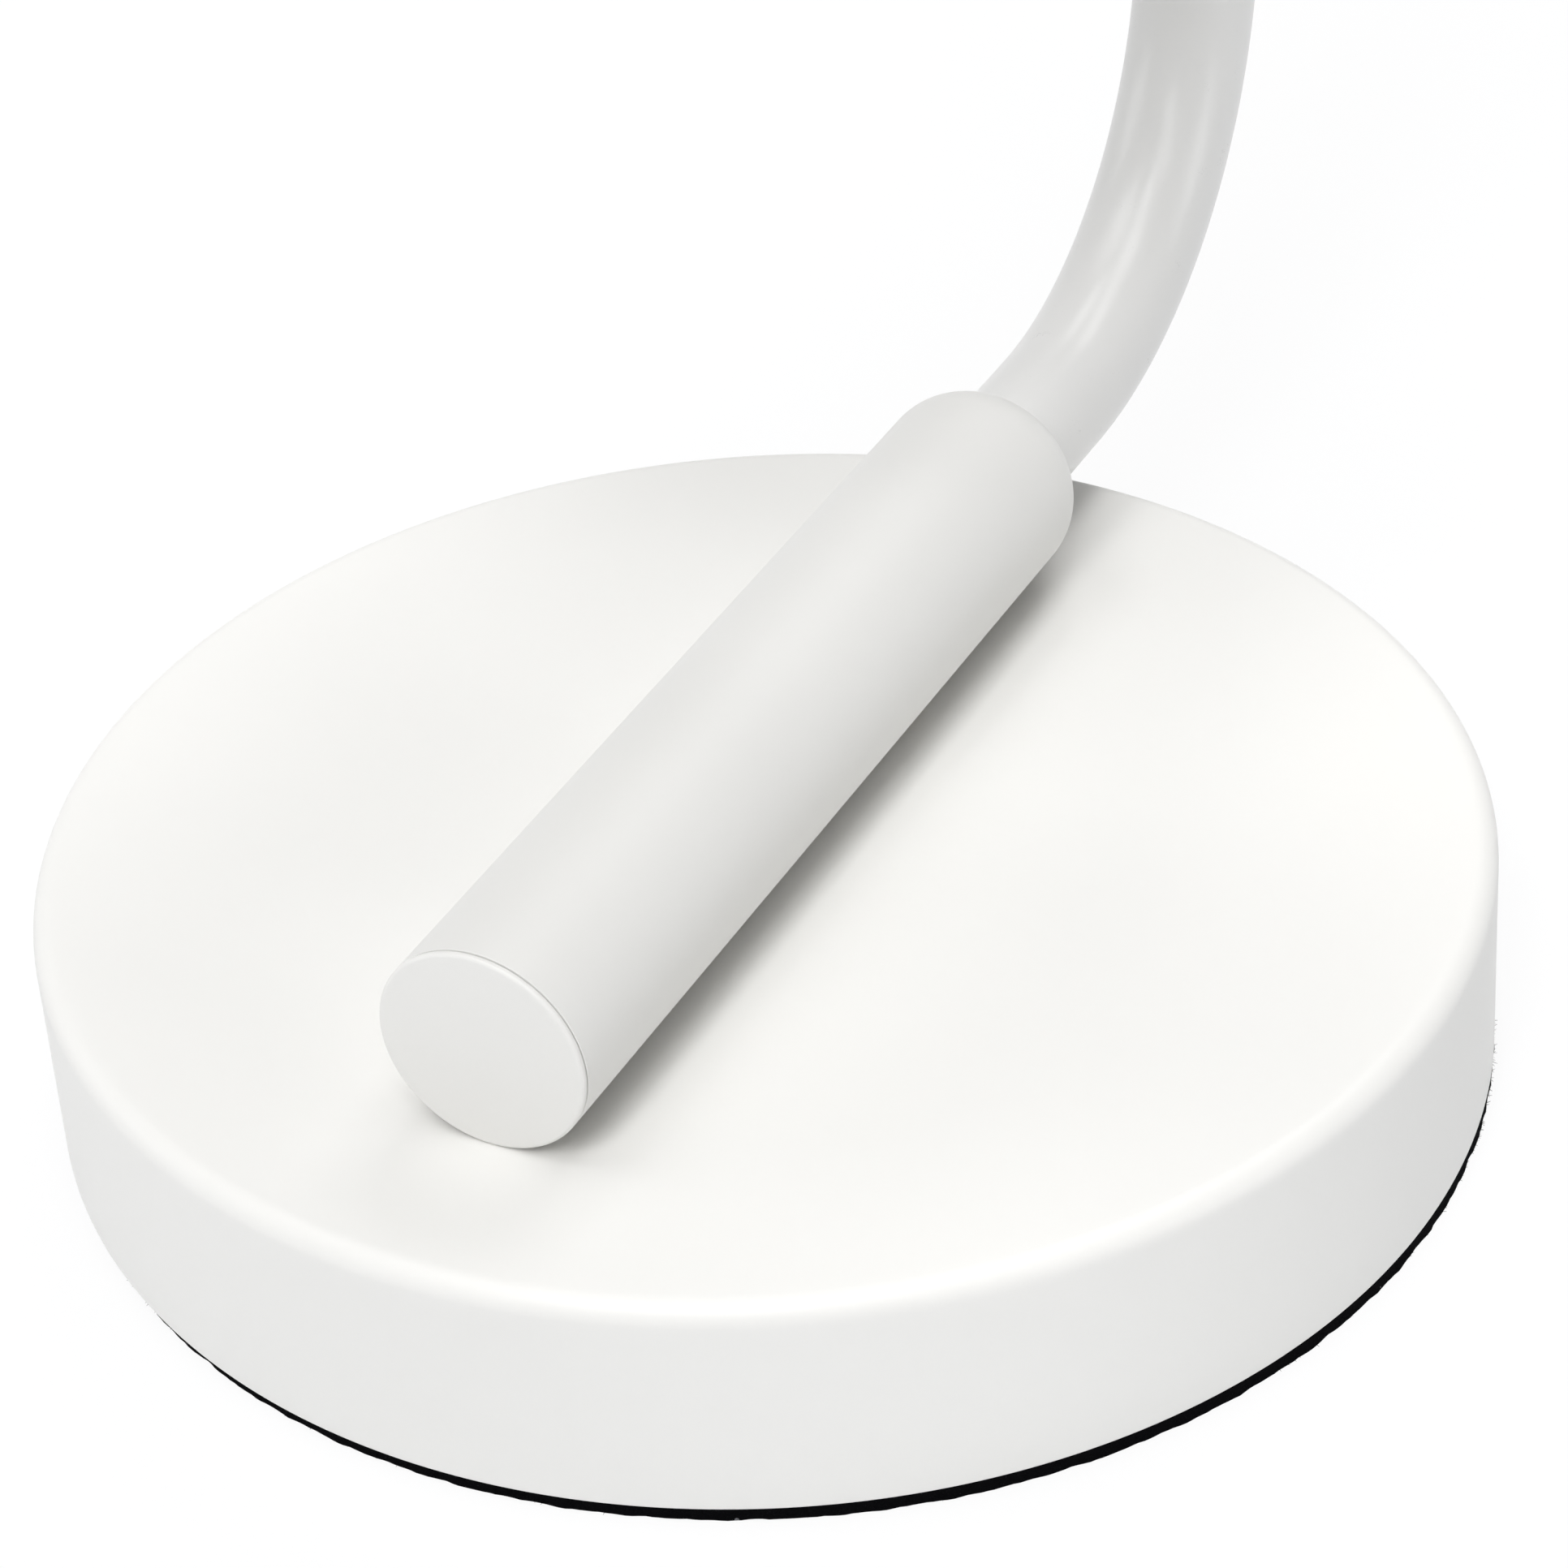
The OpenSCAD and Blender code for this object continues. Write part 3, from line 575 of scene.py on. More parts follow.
def sleeve_tree(stretches):
    """Bends a flat grid into a closed sleeve along the neck's line, with coils round it or without."""
    inputs = {"From": 0.0, "To": 0.05, "Radius": 0.00875, "Wall": 0.00135, "Rings": 40, "Sides": 96}
    inputs.update({"Coil Pitch": 0.0024, "Coil Depth": 0.0})
    t, size, made = new_tree("neck sleeve", inputs)

    # The grid has a column for each side of the sleeve and a row for each ring: up the outside,
    # then back down the inside
    rows = size["Rings"] * 2.0 + 1.0
    inputs = {"Size X": 1.0, "Size Y": 1.0, "Vertices X": size["Sides"] + 1.0, "Vertices Y": rows}
    grid = t.node("GeometryNodeMeshGrid", {}, inputs)
    index = t.node("GeometryNodeInputIndex")
    column = (index / rows).math("FLOOR")
    row = index - column * rows
    back = size["Rings"] * 2.0 - 1.0
    inside = row.math("GREATER_THAN", size["Rings"] - 0.5) - row.math("GREATER_THAN", back + 0.5)
    step = inside * (back - row) + (1.0 - inside) * (row * row.math("LESS_THAN", back + 0.5))
    distance = size["From"] + (size["To"] - size["From"]) * step / (size["Rings"] - 1.0)
    angle = column * (-2 * pi) / size["Sides"]
    coil = (distance / size["Coil Pitch"] * pi - angle * 0.5).math("SINE").math("ABSOLUTE")
    sink = size["Coil Depth"] * (1.0 - inside) * (1.0 - coil)
    reach = size["Radius"] - size["Wall"] * inside - sink

    # How far the ring is along each stretch of the line gives its middle and its slope
    y, z = BARREL_REAR, BARREL_Z
    slope = 0.0
    left = distance
    for n, (length, radius) in enumerate(stretches):
        part = left
        if n > 0:
            part = part.math("MAXIMUM", 0.0)
        if n < len(stretches) - 1:
            part = part.math("MINIMUM", length)
        if radius == 0:
            y = part * cos(slope) + y
            z = part * sin(slope) + z
        else:
            turn = part / radius + slope
            y = (turn.math("SINE") - sin(slope)) * radius + y
            z = (cos(slope) - turn.math("COSINE")) * radius + z
            bend = part / radius
            tilt = bend if n == 1 else tilt + bend
            slope += length / radius
        left = left - length
    across = angle.math("COSINE") * reach
    over = angle.math("SINE") * reach
    place = t.vector(across, y - over * tilt.math("SINE"), z + over * tilt.math("COSINE"))
    shaped = t.node("GeometryNodeSetPosition", {}, {"Geometry": grid, "Position": place})
    joined = t.node("GeometryNodeMergeByDistance", {}, {"Geometry": shaped, "Distance": 1e-6})
    close_tree(t, joined, size["Finish"])
    return made


def notch_tree():
    """Cuts round notches into the rim of a turned ring."""
    inputs = {"Geometry": "Geometry", "Notches": 20, "Notch Radius": 0.001, "Rim Radius": 0.02}
    t, size, made = new_tree("rim notches", inputs)
    place = t.node("GeometryNodeInputPosition")
    x = t.node("ShaderNodeSeparateXYZ", {}, {0: place}, output="X")
    y = t.node("ShaderNodeSeparateXYZ", {}, {0: place}, output="Y")
    reach = (x * x + y * y).math("SQRT")
    turn = y.math("ARCTAN2", x) * size["Notches"] / (2 * pi)
    aside = (turn - turn.math("ROUND")) * (2 * pi) / size["Notches"] * size["Rim Radius"]
    notch = size["Notch Radius"]
    depth = (notch * notch - aside * aside).math("MAXIMUM", 0.0).math("SQRT")
    rim = reach.math("GREATER_THAN", size["Rim Radius"] - notch)
    sink = depth * rim / reach
    moved = t.vector(0.0 - x * sink, 0.0 - y * sink, 0.0)
    cut = t.node("GeometryNodeSetPosition", {}, {"Geometry": size["Geometry"], "Offset": moved})
    close_tree(t, cut, size["Finish"])
    return made


def fibre_tree():
    """Sets short loose fibres round the rim of the felt pad."""
    inputs = {"Fibres": 1000, "Rim Radius": 0.094, "Low": 0.0002, "High": 0.0018, "Length": 0.0006}
    t, size, made = new_tree("felt fibres", {**inputs, "Thickness": 0.00003, "Seed": 7})

    def between(low, high, salt):
        inputs = {2: low, 3: high, "Seed": size["Seed"] + salt}
        return t.node("FunctionNodeRandomValue", {"data_type": "FLOAT"}, inputs, output=1)

    angle = between(0.0, 2 * pi, 0)
    east, north = angle.math("COSINE"), angle.math("SINE")
    height = between(size["Low"], size["High"], 1)
    place = t.vector(east * size["Rim Radius"], north * size["Rim Radius"], height)
    points = t.node("GeometryNodePoints", {}, {"Count": size["Fibres"], "Position": place})
    aside = between(-1.3, 1.3, 2)
    lean = t.vector(east + north * aside, north - east * aside, between(-0.2, 0.5, 3))
    turned_out = t.node("FunctionNodeAlignRotationToVector", {"axis": "Z"}, {"Vector": lean})
    inputs = {"Vertices": 4, "Side Segments": 2, "Depth": size["Length"]}
    inputs.update({"Radius Top": size["Thickness"] * 0.3, "Radius Bottom": size["Thickness"]})
    fibre = t.node("GeometryNodeMeshCone", {}, inputs)
    inputs = {"Points": points, "Instance": fibre, "Rotation": turned_out}
    inputs["Scale"] = between(0.4, 1.5, 4)
    set_out = t.node("GeometryNodeInstanceOnPoints", {}, inputs)
    close_tree(t, set_out, size["Finish"])
    return made


def grown(name, group, sockets, values, start=None):
    """Runs a geometry tree, on a mesh or on nothing, and returns its result as a plain mesh."""
    holder = put(name, start or bpy.data.meshes.new(name))
    modifier = holder.modifiers.new(name, "NODES")
    modifier.node_group = group
    for key, value in values.items():
        modifier[sockets[key]] = value
    bpy.context.view_layer.update()
    graph = bpy.context.evaluated_depsgraph_get()
    data = bpy.data.meshes.new_from_object(holder.evaluated_get(graph))
    bpy.data.meshes.remove(holder.data)
    data.name = name
    return data


# ---- Sizes and colours ----


def length_of(name, millimetres, description):
    """A size that the user can change."""
    return FloatProperty(name=name, description=description, default=millimetres * MM, unit="LENGTH")


def count_of(name, default, least, description):
    """A number of like things that the user can change."""
    return IntProperty(name=name, description=description, default=default, min=least)


def colour_of(name, default, description):
    """A colour that the user can change."""
    return FloatVectorProperty(name=name, description=description, default=default, subtype="COLOR")


class LampSizes(PropertyGroup):
    """Sizes of the pieces."""

    edge_radius: length_of("Base edge radius", 3.0, "Radius of the base cover's top edge")
    base_wall: length_of("Base wall", 2.0, "Sheet thickness of the base cover")
    barrel_wall: length_of("Barrel wall", 1.6, "Wall thickness of the barrel")
    barrel_end: length_of("Barrel end radius", 8.6, "Radius of the barrel's rounded rear edge")
    mouth_wall: length_of("Mouth wall", 0.5, "Wall of the barrel's front end, round the cap's collar")
    mouth_depth: length_of("Mouth depth", 3.0, "How deep the barrel is widened for the cap's collar")
    cap_rim: length_of("Cap rim", 0.8, "Thickness of the switch cap's rim")
    cap_edge: length_of("Cap edge radius", 0.5, "Radius of the switch cap's front edge")
    neck_radius: length_of("Neck radius", 8.75, "Outer radius of the neck's sleeve")
    lead_in: length_of("Neck lead-in", 16.5, "Straight length between the barrel and the lower bend")
    low_bend: length_of("Lower bend radius", 53.2, "Radius of the neck's lower bend")
    rise: length_of("Neck rise", 220.0, "Straight length between the neck's bends")
    top_bend: length_of("Upper bend radius", 62.0, "Radius of the neck's upper bend")
    top_angle: FloatProperty(
        name="Upper bend angle",
        description="Degrees that the neck's upper bend turns through",
        default=150.0,
    )
    lead_out: length_of("Neck lead-out", 10.0, "Straight length between the upper bend and the housing")
    head_radius: length_of("Housing radius", 17.0, "Outer radius of the lampholder housing")
    head_length: length_of("Housing length", 56.0, "Length of the lampholder housing")
    head_wall: length_of("Housing wall", 1.5, "Wall thickness of the lampholder housing")
    head_end: length_of("Housing end radius", 10.0, "Radius of the housing's rounded end")
    shade_top: length_of("Shade top radius", 27.0, "Radius where the shade's top and flare would meet")
    shade_mouth: length_of("Shade mouth radius", 64.0, "Radius of the shade's mouth")
    shade_length: length_of("Shade length", 84.0, "Length of the shade from its flat top to its mouth")
    shade_wall: length_of("Shade wall", 0.8, "Sheet thickness of the shade")
    shade_shoulder: length_of("Shade shoulder radius", 12.0, "Radius of the shade's rounded shoulder")
    bead: length_of("Bead radius", 1.2, "Radius of the bead rolled round the shade's mouth")
    holder_radius: length_of("Lampholder radius", 13.2, "Outer radius of the lampholder's skirt")
    ring_radius: length_of("Shade ring radius", 20.2, "Outer radius of the ring that clamps the shade")
    ring_notches: count_of("Ring notches", 20, 3, "How many grip notches the shade ring has")
    notch_radius: length_of("Notch radius", 1.0, "Radius of each grip notch")
    globe_radius: length_of("Globe radius", 22.5, "Radius of the bulb's globe")
    bulb_cap: length_of("Bulb cap radius", 6.9, "Outer radius of the bulb's screw cap")
    inlet_radius: length_of("Cord inlet radius", 3.3, "Radius of the hole through the cord grommet")
    fibres: count_of("Felt fibres", 1500, 0, "How many loose fibres stand out of the pad's edge")
    fibre_length: length_of("Fibre length", 0.55, "Length of a loose fibre")
    neck_sides: count_of("Neck sides", 96, 24, "How many faces the sleeve has round it")
    ring_spacing: length_of("Ring spacing", 1.0, "Distance between the rings of the sleeve's faces")


class LampColours(PropertyGroup):
    """Colours of the finishes."""

    coat: colour_of("Coat", (0.80, 0.795, 0.775), "Colour of the powder coat")
    sleeve: colour_of("Sleeve", (0.775, 0.771, 0.758), "Colour of the neck's sleeve")
    felt: colour_of("Felt", (0.0025, 0.0025, 0.003), "Colour of the pad")
    plastic: colour_of("Plastic", (0.80, 0.80, 0.78), "Colour of the lampholder and the shade ring")
    glass: colour_of("Glass", (0.86, 0.86, 0.84), "Colour of the bulb's opal glass")
    brass: colour_of("Brass", (0.72, 0.52, 0.22), "Colour of the brass parts")


def coat():
    """The one powder coat that all the coated pieces share."""
    found = bpy.data.materials.get("white_powder_coat")
    return found or powder_coat("white_powder_coat", bpy.context.scene.lamp_colours.coat)


def lamp_plastic():
    """The plastic that the lampholder and its ring share."""
    found = bpy.data.materials.get("lampholder_plastic")
    return found or moulded("lampholder_plastic", bpy.context.scene.lamp_colours.plastic, 0.36)


# ---- Operators ----


def direction(azimuth, height):
    """Away from the lamp, both in degrees: 0 is the switch's side and 90 its right."""
    turn, lift = radians(azimuth), radians(height)
    reach = cos(lift)
    return Vector((sin(turn) * reach, -cos(turn) * reach, sin(lift)))


class LAMP_OT_stage(Operator):
    """Set the camera, the lights and the pale floor"""

    bl_idname = "lamp.stage"
    bl_label = "Stage"

    def execute(self, context):
        self.place_camera(context)
        self.light_studio(context)
        self.lay_floor(context)
        return {"FINISHED"}

    def place_camera(self, context):
        """A long lens from the right of the switch's side, a little over the base."""
        distance, roll = 715.57 * MM, radians(-4.151)
        target = Vector((-16.843, 36.297, 12.0)) * MM
        back = direction(29.691, 35.042)
        right = (-back).cross(Vector((0, 0, 1))).normalized()
        up = right.cross(-back)
        tilted_right = right * cos(roll) + up * sin(roll)
        tilted_up = up * cos(roll) - right * sin(roll)
        lens = bpy.data.cameras.new("camera")
        lens.sensor_width, lens.lens, lens.clip_start = 36, 118.51, 0.01
        turn = Matrix((tilted_right, tilted_up, back)).transposed().to_4x4()
        context.scene.camera = put("camera", lens)
        context.scene.camera.matrix_world = Matrix.Translation(target + back * distance) @ turn

    def light_studio(self, context):
        """Soft panels: mostly from the switch's side and overhead, a few low and small ones."""
        aim = Vector((0, 0, 0.04))
        for name, azimuth, height, width, depth, power in STUDIO:
            light = bpy.data.lights.new(name, "AREA")
            light.shape = "RECTANGLE"
            light.size, light.size_y, light.energy = width, depth, power
            lamp = put(name, light)
            lamp.location = direction(azimuth, height) * LAMP_DISTANCE
            lamp.rotation_euler = (aim - lamp.location).to_track_quat("-Z", "Y").to_euler()
        world = bpy.data.worlds.new("surround")
        world.use_nodes = True
        t = Tree(world.node_tree)
        t.nodes.remove(t.nodes["Background"])
        seen = seen_directly(t)
        even = t.node("ShaderNodeBackground", {}, {0: (1, 1, 1, 1), 1: 0.02})
        distance = t.node("ShaderNodeBackground", {}, {0: (*HORIZON, 1), 1: 1.0})
        both = t.node("ShaderNodeMixShader", {}, {0: seen, 1: even, 2: distance})
        t.links.new(both.socket, t.nodes["World Output"].inputs["Surface"])
        context.scene.world = world
        context.scene.view_settings.view_transform = "Standard"

    def lay_floor(self, context):
        """A wide floor, white round the lamp and pale grey far away, that keeps the shadow."""
        floor_radius, white_to, sweep, shadow_to = 3.0, 0.45, 2.2, 0.3
        mesh = bmesh.new()
        bmesh.ops.create_circle(mesh, cap_ends=True, segments=96, radius=floor_radius)
        floor = piece_of("floor", mesh)
        finish = Finish("pale_floor", (0.85, 0.86, 0.88), 0.8)
        uneven = finish.mix(finish.noise(0.4), (0.845, 0.855, 0.875, 1), (0.855, 0.865, 0.885, 1))
        finish.set("Base Color", uneven)
        seen = seen_directly(finish)
        far = finish.node("ShaderNodeVectorMath", {"operation": "LENGTH"}, {0: finish.place}, output=1)
        fading = ((far - white_to) / sweep).clamped()
        paled = finish.mix(fading * (2.0 - fading), (1, 1, 1, 1), (*HORIZON, 1))
        glow = finish.node("ShaderNodeEmission", {}, {0: paled, 1: 1.0})
        matte = Value(finish, finish.shader.outputs[0])
        white = 0.9 + (far - shadow_to).clamped() * 0.1
        both = finish.node("ShaderNodeMixShader", {}, {0: seen * white, 1: matte, 2: glow})
        finish.links.new(both.socket, finish.nodes["Material Output"].inputs["Surface"])
        floor.data.materials.append(finish.material)


class LAMP_OT_base(Operator):
    """Build the coated base cover, the felt pad under it and the cord grommet"""

    bl_idname = "lamp.base"
    bl_label = "Base"

    def execute(self, context):
        sizes, colours = context.scene.lamp_sizes, context.scene.lamp_colours
        foot, wall = COVER_LOW[2], sizes.base_wall
        inside, under = BASE_RADIUS - wall, DECK_Z - wall
        outline = [(0, DECK_Z, 0), (BASE_RADIUS, DECK_Z, sizes.edge_radius)]
        outline += [(BASE_RADIUS, foot, 0.35 * MM), (inside, foot, 0.1 * MM)]
        outline += [(inside, under, max(0.2 * MM, sizes.edge_radius - wall)), (0, under, 0)]
        cover = turned("base_cover_coated", rounded(outline, steps=12), 320)
        low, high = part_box("cord_grommet")
        inlet_z, inlet = (low[2] + high[2]) / 2, sizes.inlet_radius
        inlet_hole = (towards_rear(BASE_RADIUS - 3 * wall, inlet_z), inlet + 1.75 * MM, 5 * wall)
        drill(cover, inlet_hole, *fixing_holes(DECK_Z - 2 * wall, 4 * wall))
        dress(cover, coat(), "white_coat", "base", "base_cover")

        flange, body = (high[2] - low[2]) / 2, inlet + 1.7 * MM
        near, lip, far = low[1], 1.4 * MM, high[1]
        outline = [(inlet, near, 0.25 * MM), (flange, near, 0.3 * MM), (flange, near + lip, 0.2 * MM)]
        outline += [(body, near + lip, 0.1 * MM), (body, far - lip, 0.1 * MM)]
        outline += [(flange, far - lip, 0.3 * MM), (flange, far, 0.8 * MM), (inlet, far, 0.5 * MM)]
        grommet = turned("cord_grommet_moulded", rounded(outline), 96, towards_rear(0, inlet_z))
        rubber = moulded("white_rubber", colours.plastic, 0.62)
        dress(grommet, rubber, "grommet_rubber", "base", "cord_grommet")
        self.lay_pad(sizes, colours)
        return {"FINISHED"}

    def lay_pad(self, sizes, colours):
        low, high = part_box("base_pad")
        edge, top = high[1], high[2]
        middle = Matrix.Translation(((low[0] + high[0]) / 2, 0, 0))
        felt = pressed_felt("black_felt", colours.felt)
        outline = rounded([(0, top, 0), (edge, top, 0.1 * MM), (edge, 0, 0.1 * MM), (0, 0, 0)], steps=3)
        pad = turned("felt_pad", outline, 720, middle, radial=self.ragged)
        dress(pad, felt, "pad_felt", "base", "base_pad")
        loose = {"Fibres": sizes.fibres, "Length": sizes.fibre_length, "Thickness": 0.035 * MM}
        loose.update({"Rim Radius": edge - 0.2 * MM, "Low": 0.3 * MM, "High": top - 0.2 * MM})
        data = grown("felt_fibres", *fibre_tree(), {**loose, "Seed": 7, "Finish": felt})
        data.transform(middle)
        dress(place_piece(data), felt, "pad_felt", "base", "base_pad")

    @staticmethod
    def ragged(angle, r, h):
        """The cut edge of the felt wanders in and out in soft lumps, more so near the desk."""
        if r < 0.05:
            return r
        waves = ((37, 1.3, 0.8), (61, 4.0, 0.7), (91, 0.4, 0.9))
        waves += ((137, 2.2, 0.7), (213, 5.1, 0.45), (331, 3.3, 0.3))
        lumps = sum(size * sin(angle * count + turn + h * 700) for count, turn, size in waves)
        return r - 0.08 * MM + (0.035 if h > 1 * MM else 0.06) * MM * lumps


class LAMP_OT_barrel(Operator):
    """Build the coated barrel and the switch cap at its front end"""

    bl_idname = "lamp.barrel"
    bl_label = "Barrel and switch"

    def execute(self, context):
        sizes = context.scene.lamp_sizes
        self.build_barrel(sizes)
        self.build_cap(sizes)
        return {"FINISHED"}

    def build_barrel(self, sizes):
        front = BARREL_LOW[1] - CAP_LOW[1]
        mouth = (BARREL_RADIUS - sizes.mouth_wall, front + sizes.mouth_depth)
        walls = (sizes.barrel_wall, sizes.barrel_end, neck_hole(sizes))
        outline = capped_tube(BARREL_LENGTH, BARREL_RADIUS, *walls, front, 0.1 * MM, mouth)
        barrel = turned("barrel_coated", outline, 192, towards_rear(CAP_LOW[1], BARREL_Z))
        drill(barrel, *fixing_holes(BARREL_Z - BARREL_RADIUS - 3 * MM, 8 * MM))
        dress(barrel, coat(), "white_coat", "base", "barrel")

    def build_cap(self, sizes):
        r, rim = BARREL_RADIUS, sizes.cap_rim
        spigot = r - sizes.barrel_wall - 0.1 * MM
        spigot_in, spigot_end = spigot - 1.5 * MM, rim + 6.5 * MM
        collar, collar_end = r - sizes.mouth_wall - 0.1 * MM, rim + sizes.mouth_depth - 0.1 * MM
        stem, stem_end = 3.0 * MM, CAP_HIGH[1] - CAP_LOW[1]
        outline = [(0, 0, 0), (r, 0, sizes.cap_edge), (r, rim, 0.1 * MM), (collar, rim, 0.05 * MM)]
        outline += [(collar, collar_end, 0.1 * MM), (spigot, collar_end, 0.05 * MM)]
        outline += [(spigot, spigot_end, 0.2 * MM), (spigot_in, spigot_end, 0.2 * MM)]
        outline += [(spigot_in, rim, 0.2 * MM), (stem, rim, 0.2 * MM), (stem, stem_end, 0.3 * MM)]
        outline = rounded(outline + [(0, stem_end, 0)])
        cap = turned("switch_cap_coated", outline, 192, towards_rear(CAP_LOW[1], BARREL_Z))
        dress(cap, coat(), "white_coat", "switch", "switch_cap")


class LAMP_OT_neck(Operator):
    """Build the neck's coiled core and its smooth sleeve, one piece of each across every joint of the neck"""

    bl_idname = "lamp.neck"
    bl_label = "Neck"

    def execute(self, context):
        sizes = context.scene.lamp_sizes
        made = sleeve_tree(neck_stretches(sizes))
        sleeve = satin_sleeve("neck_sleeve_satin", context.scene.lamp_colours.sleeve)
        core = worked_metal("coiled_core_steel", (0.42, 0.43, 0.45), 0.42, (1, 1, 1))
        smooth = {"Radius": sizes.neck_radius, "Wall": 1.35 * MM, "Sides": sizes.neck_sides}
        smooth.update({"Coil Depth": 0.0, "Finish": sleeve})
        coiled = {"Radius": 7.35 * MM, "Wall": 4.15 * MM, "Sides": 40, "Coil Pitch": 2.4 * MM}
        coiled.update({"Coil Depth": 0.55 * MM, "Finish": core})
        self.lay(sizes, made, "neck_sleeve", smooth, "neck_sleeve", sizes.ring_spacing, 8 * MM)
        self.lay(sizes, made, "neck_core", coiled, "core_steel", 0.4 * MM, 10.5 * MM)
        return {"FINISHED"}

    def lay(self, sizes, made, layer, values, slot, spacing, held):
        """One piece of a layer for each hinge, from the middle of the link before it to that of the link after."""
        hinges, total = hinge_distances(sizes), neck_length(sizes)
        middles = [(a + b) / 2 for a, b in zip(hinges, hinges[1:])]
        last, margin = len(hinges) - 1, 2.6 * MM
        for n, (start, end) in enumerate(zip([-held] + middles, middles + [total + held])):
            span = {"From": start, "To": end, "Rings": max(6, round((end - start) / spacing))}
            data = grown(f"{layer}_bending_{n}", *made, {**values, **span})
            piece = place_piece(data, sharp_angle=60)
            solids = [f"{layer}_{n}"] + ([f"{layer}_{n + 1}"] if n == last else [])
            dress(piece, values["Finish"], slot, None, *solids)
            bend_from = self.middle_at(sizes, 2 * MM if n == 0 else start + margin)
            bend_to = self.middle_at(sizes, total - 1 * MM if n == last else end - margin)
            NECK_BODIES[n + 1]
            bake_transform(piece)

    @staticmethod
    def middle_at(sizes, distance):
        y, z, slope = neck_point(sizes, distance)
        return (0, y, z)


class LAMP_OT_head(Operator):
    """Build the lampholder housing, the spun shade and the ring that clamps it"""

    bl_idname = "lamp.head"
    bl_label = "Head and shade"

    def execute(self, context):
        sizes = context.scene.lamp_sizes
        head = at_head(sizes)
        walls = (sizes.head_wall, sizes.head_end, neck_hole(sizes))
        outline = capped_tube(sizes.head_length, sizes.head_radius, *walls)
        over = Matrix.Translation((0, 0, sizes.head_length)) @ Matrix.Rotation(pi, 4, "X")
        housing = turned("head_housing_coated", outline, 192, head @ over)
        dress(housing, coat(), "white_coat", "head", "head_housing")

        shade = turned("shade_spun", self.shade_outline(sizes), 320, head)
        dress(shade, coat(), "white_coat", "head", "shade")
        self.build_ring(sizes, head)
        return {"FINISHED"}

    @staticmethod
    def shade_outline(sizes):
        """Flat top, rounded shoulder, straight flare and a bead rolled from the same sheet."""
        top, wall = sizes.head_length, sizes.shade_wall
        mouth = top + sizes.shade_length
        hole = sizes.holder_radius + 0.1 * MM
        flare = atan2(sizes.shade_mouth - sizes.shade_top, sizes.shade_length)
        round_off = sizes.shade_shoulder
        across, along = cos(flare), sin(flare)
        shoulder = (sizes.shade_top - round_off * (1 - along) / across, top + round_off)
        slant = -degrees(flare)
        outer = arc(shoulder, round_off, -90, slant, 16)
        inner = arc(shoulder, round_off - wall, slant, -90, 14)

        # The bead stands out from where its circle crosses the flare's outer face to where it crosses
        # the inner one, which runs on past it
        middle = Vector((sizes.shade_mouth - wall / 2, mouth))
        face = Vector((across, -along))
        edge = Vector((sizes.shade_mouth, mouth)) - middle
        first = slant - degrees(acos(edge.dot(face) / sizes.bead))
        last = slant + degrees(acos((edge.dot(face) - wall) / sizes.bead))
        bead = arc(middle, sizes.bead, first, last, 36)
        down = steps_between(outer[-1], bead[0], 16)
        up = steps_between(bead[-1], inner[0], 16)
        rim = [(shoulder[0], top + wall, 0), (hole, top + wall, 0.15 * MM), (hole, top, 0.15 * MM)]
        rim = rounded(rim + [(shoulder[0], top, 0)], steps=3)
        return rim[1:-1] + outer + down + bead + up + inner

    def build_ring(self, sizes, head):
        low = sizes.head_length + sizes.shade_wall + 0.05 * MM
        high = low + 4 * MM
        inner, rim = sizes.holder_radius + 0.05 * MM, sizes.ring_radius
        outline = [(inner, low, 0.2 * MM), (rim, low, 0.25 * MM)]
        outline += [(rim, high, 0.4 * MM), (inner, high, 0.35 * MM)]
        blank = turned("shade_ring_blank", rounded(outline, steps=4), sizes.ring_notches * 24)
        mesh = blank.data
        bpy.data.objects.remove(blank)
        values = {"Notches": sizes.ring_notches, "Notch Radius": sizes.notch_radius}
        values.update({"Rim Radius": rim, "Finish": lamp_plastic()})
        data = grown("shade_ring_notched", *notch_tree(), values, start=mesh)
        data.transform(head)
        dress(place_piece(data), values["Finish"], "holder_plastic", "head", "shade_ring")


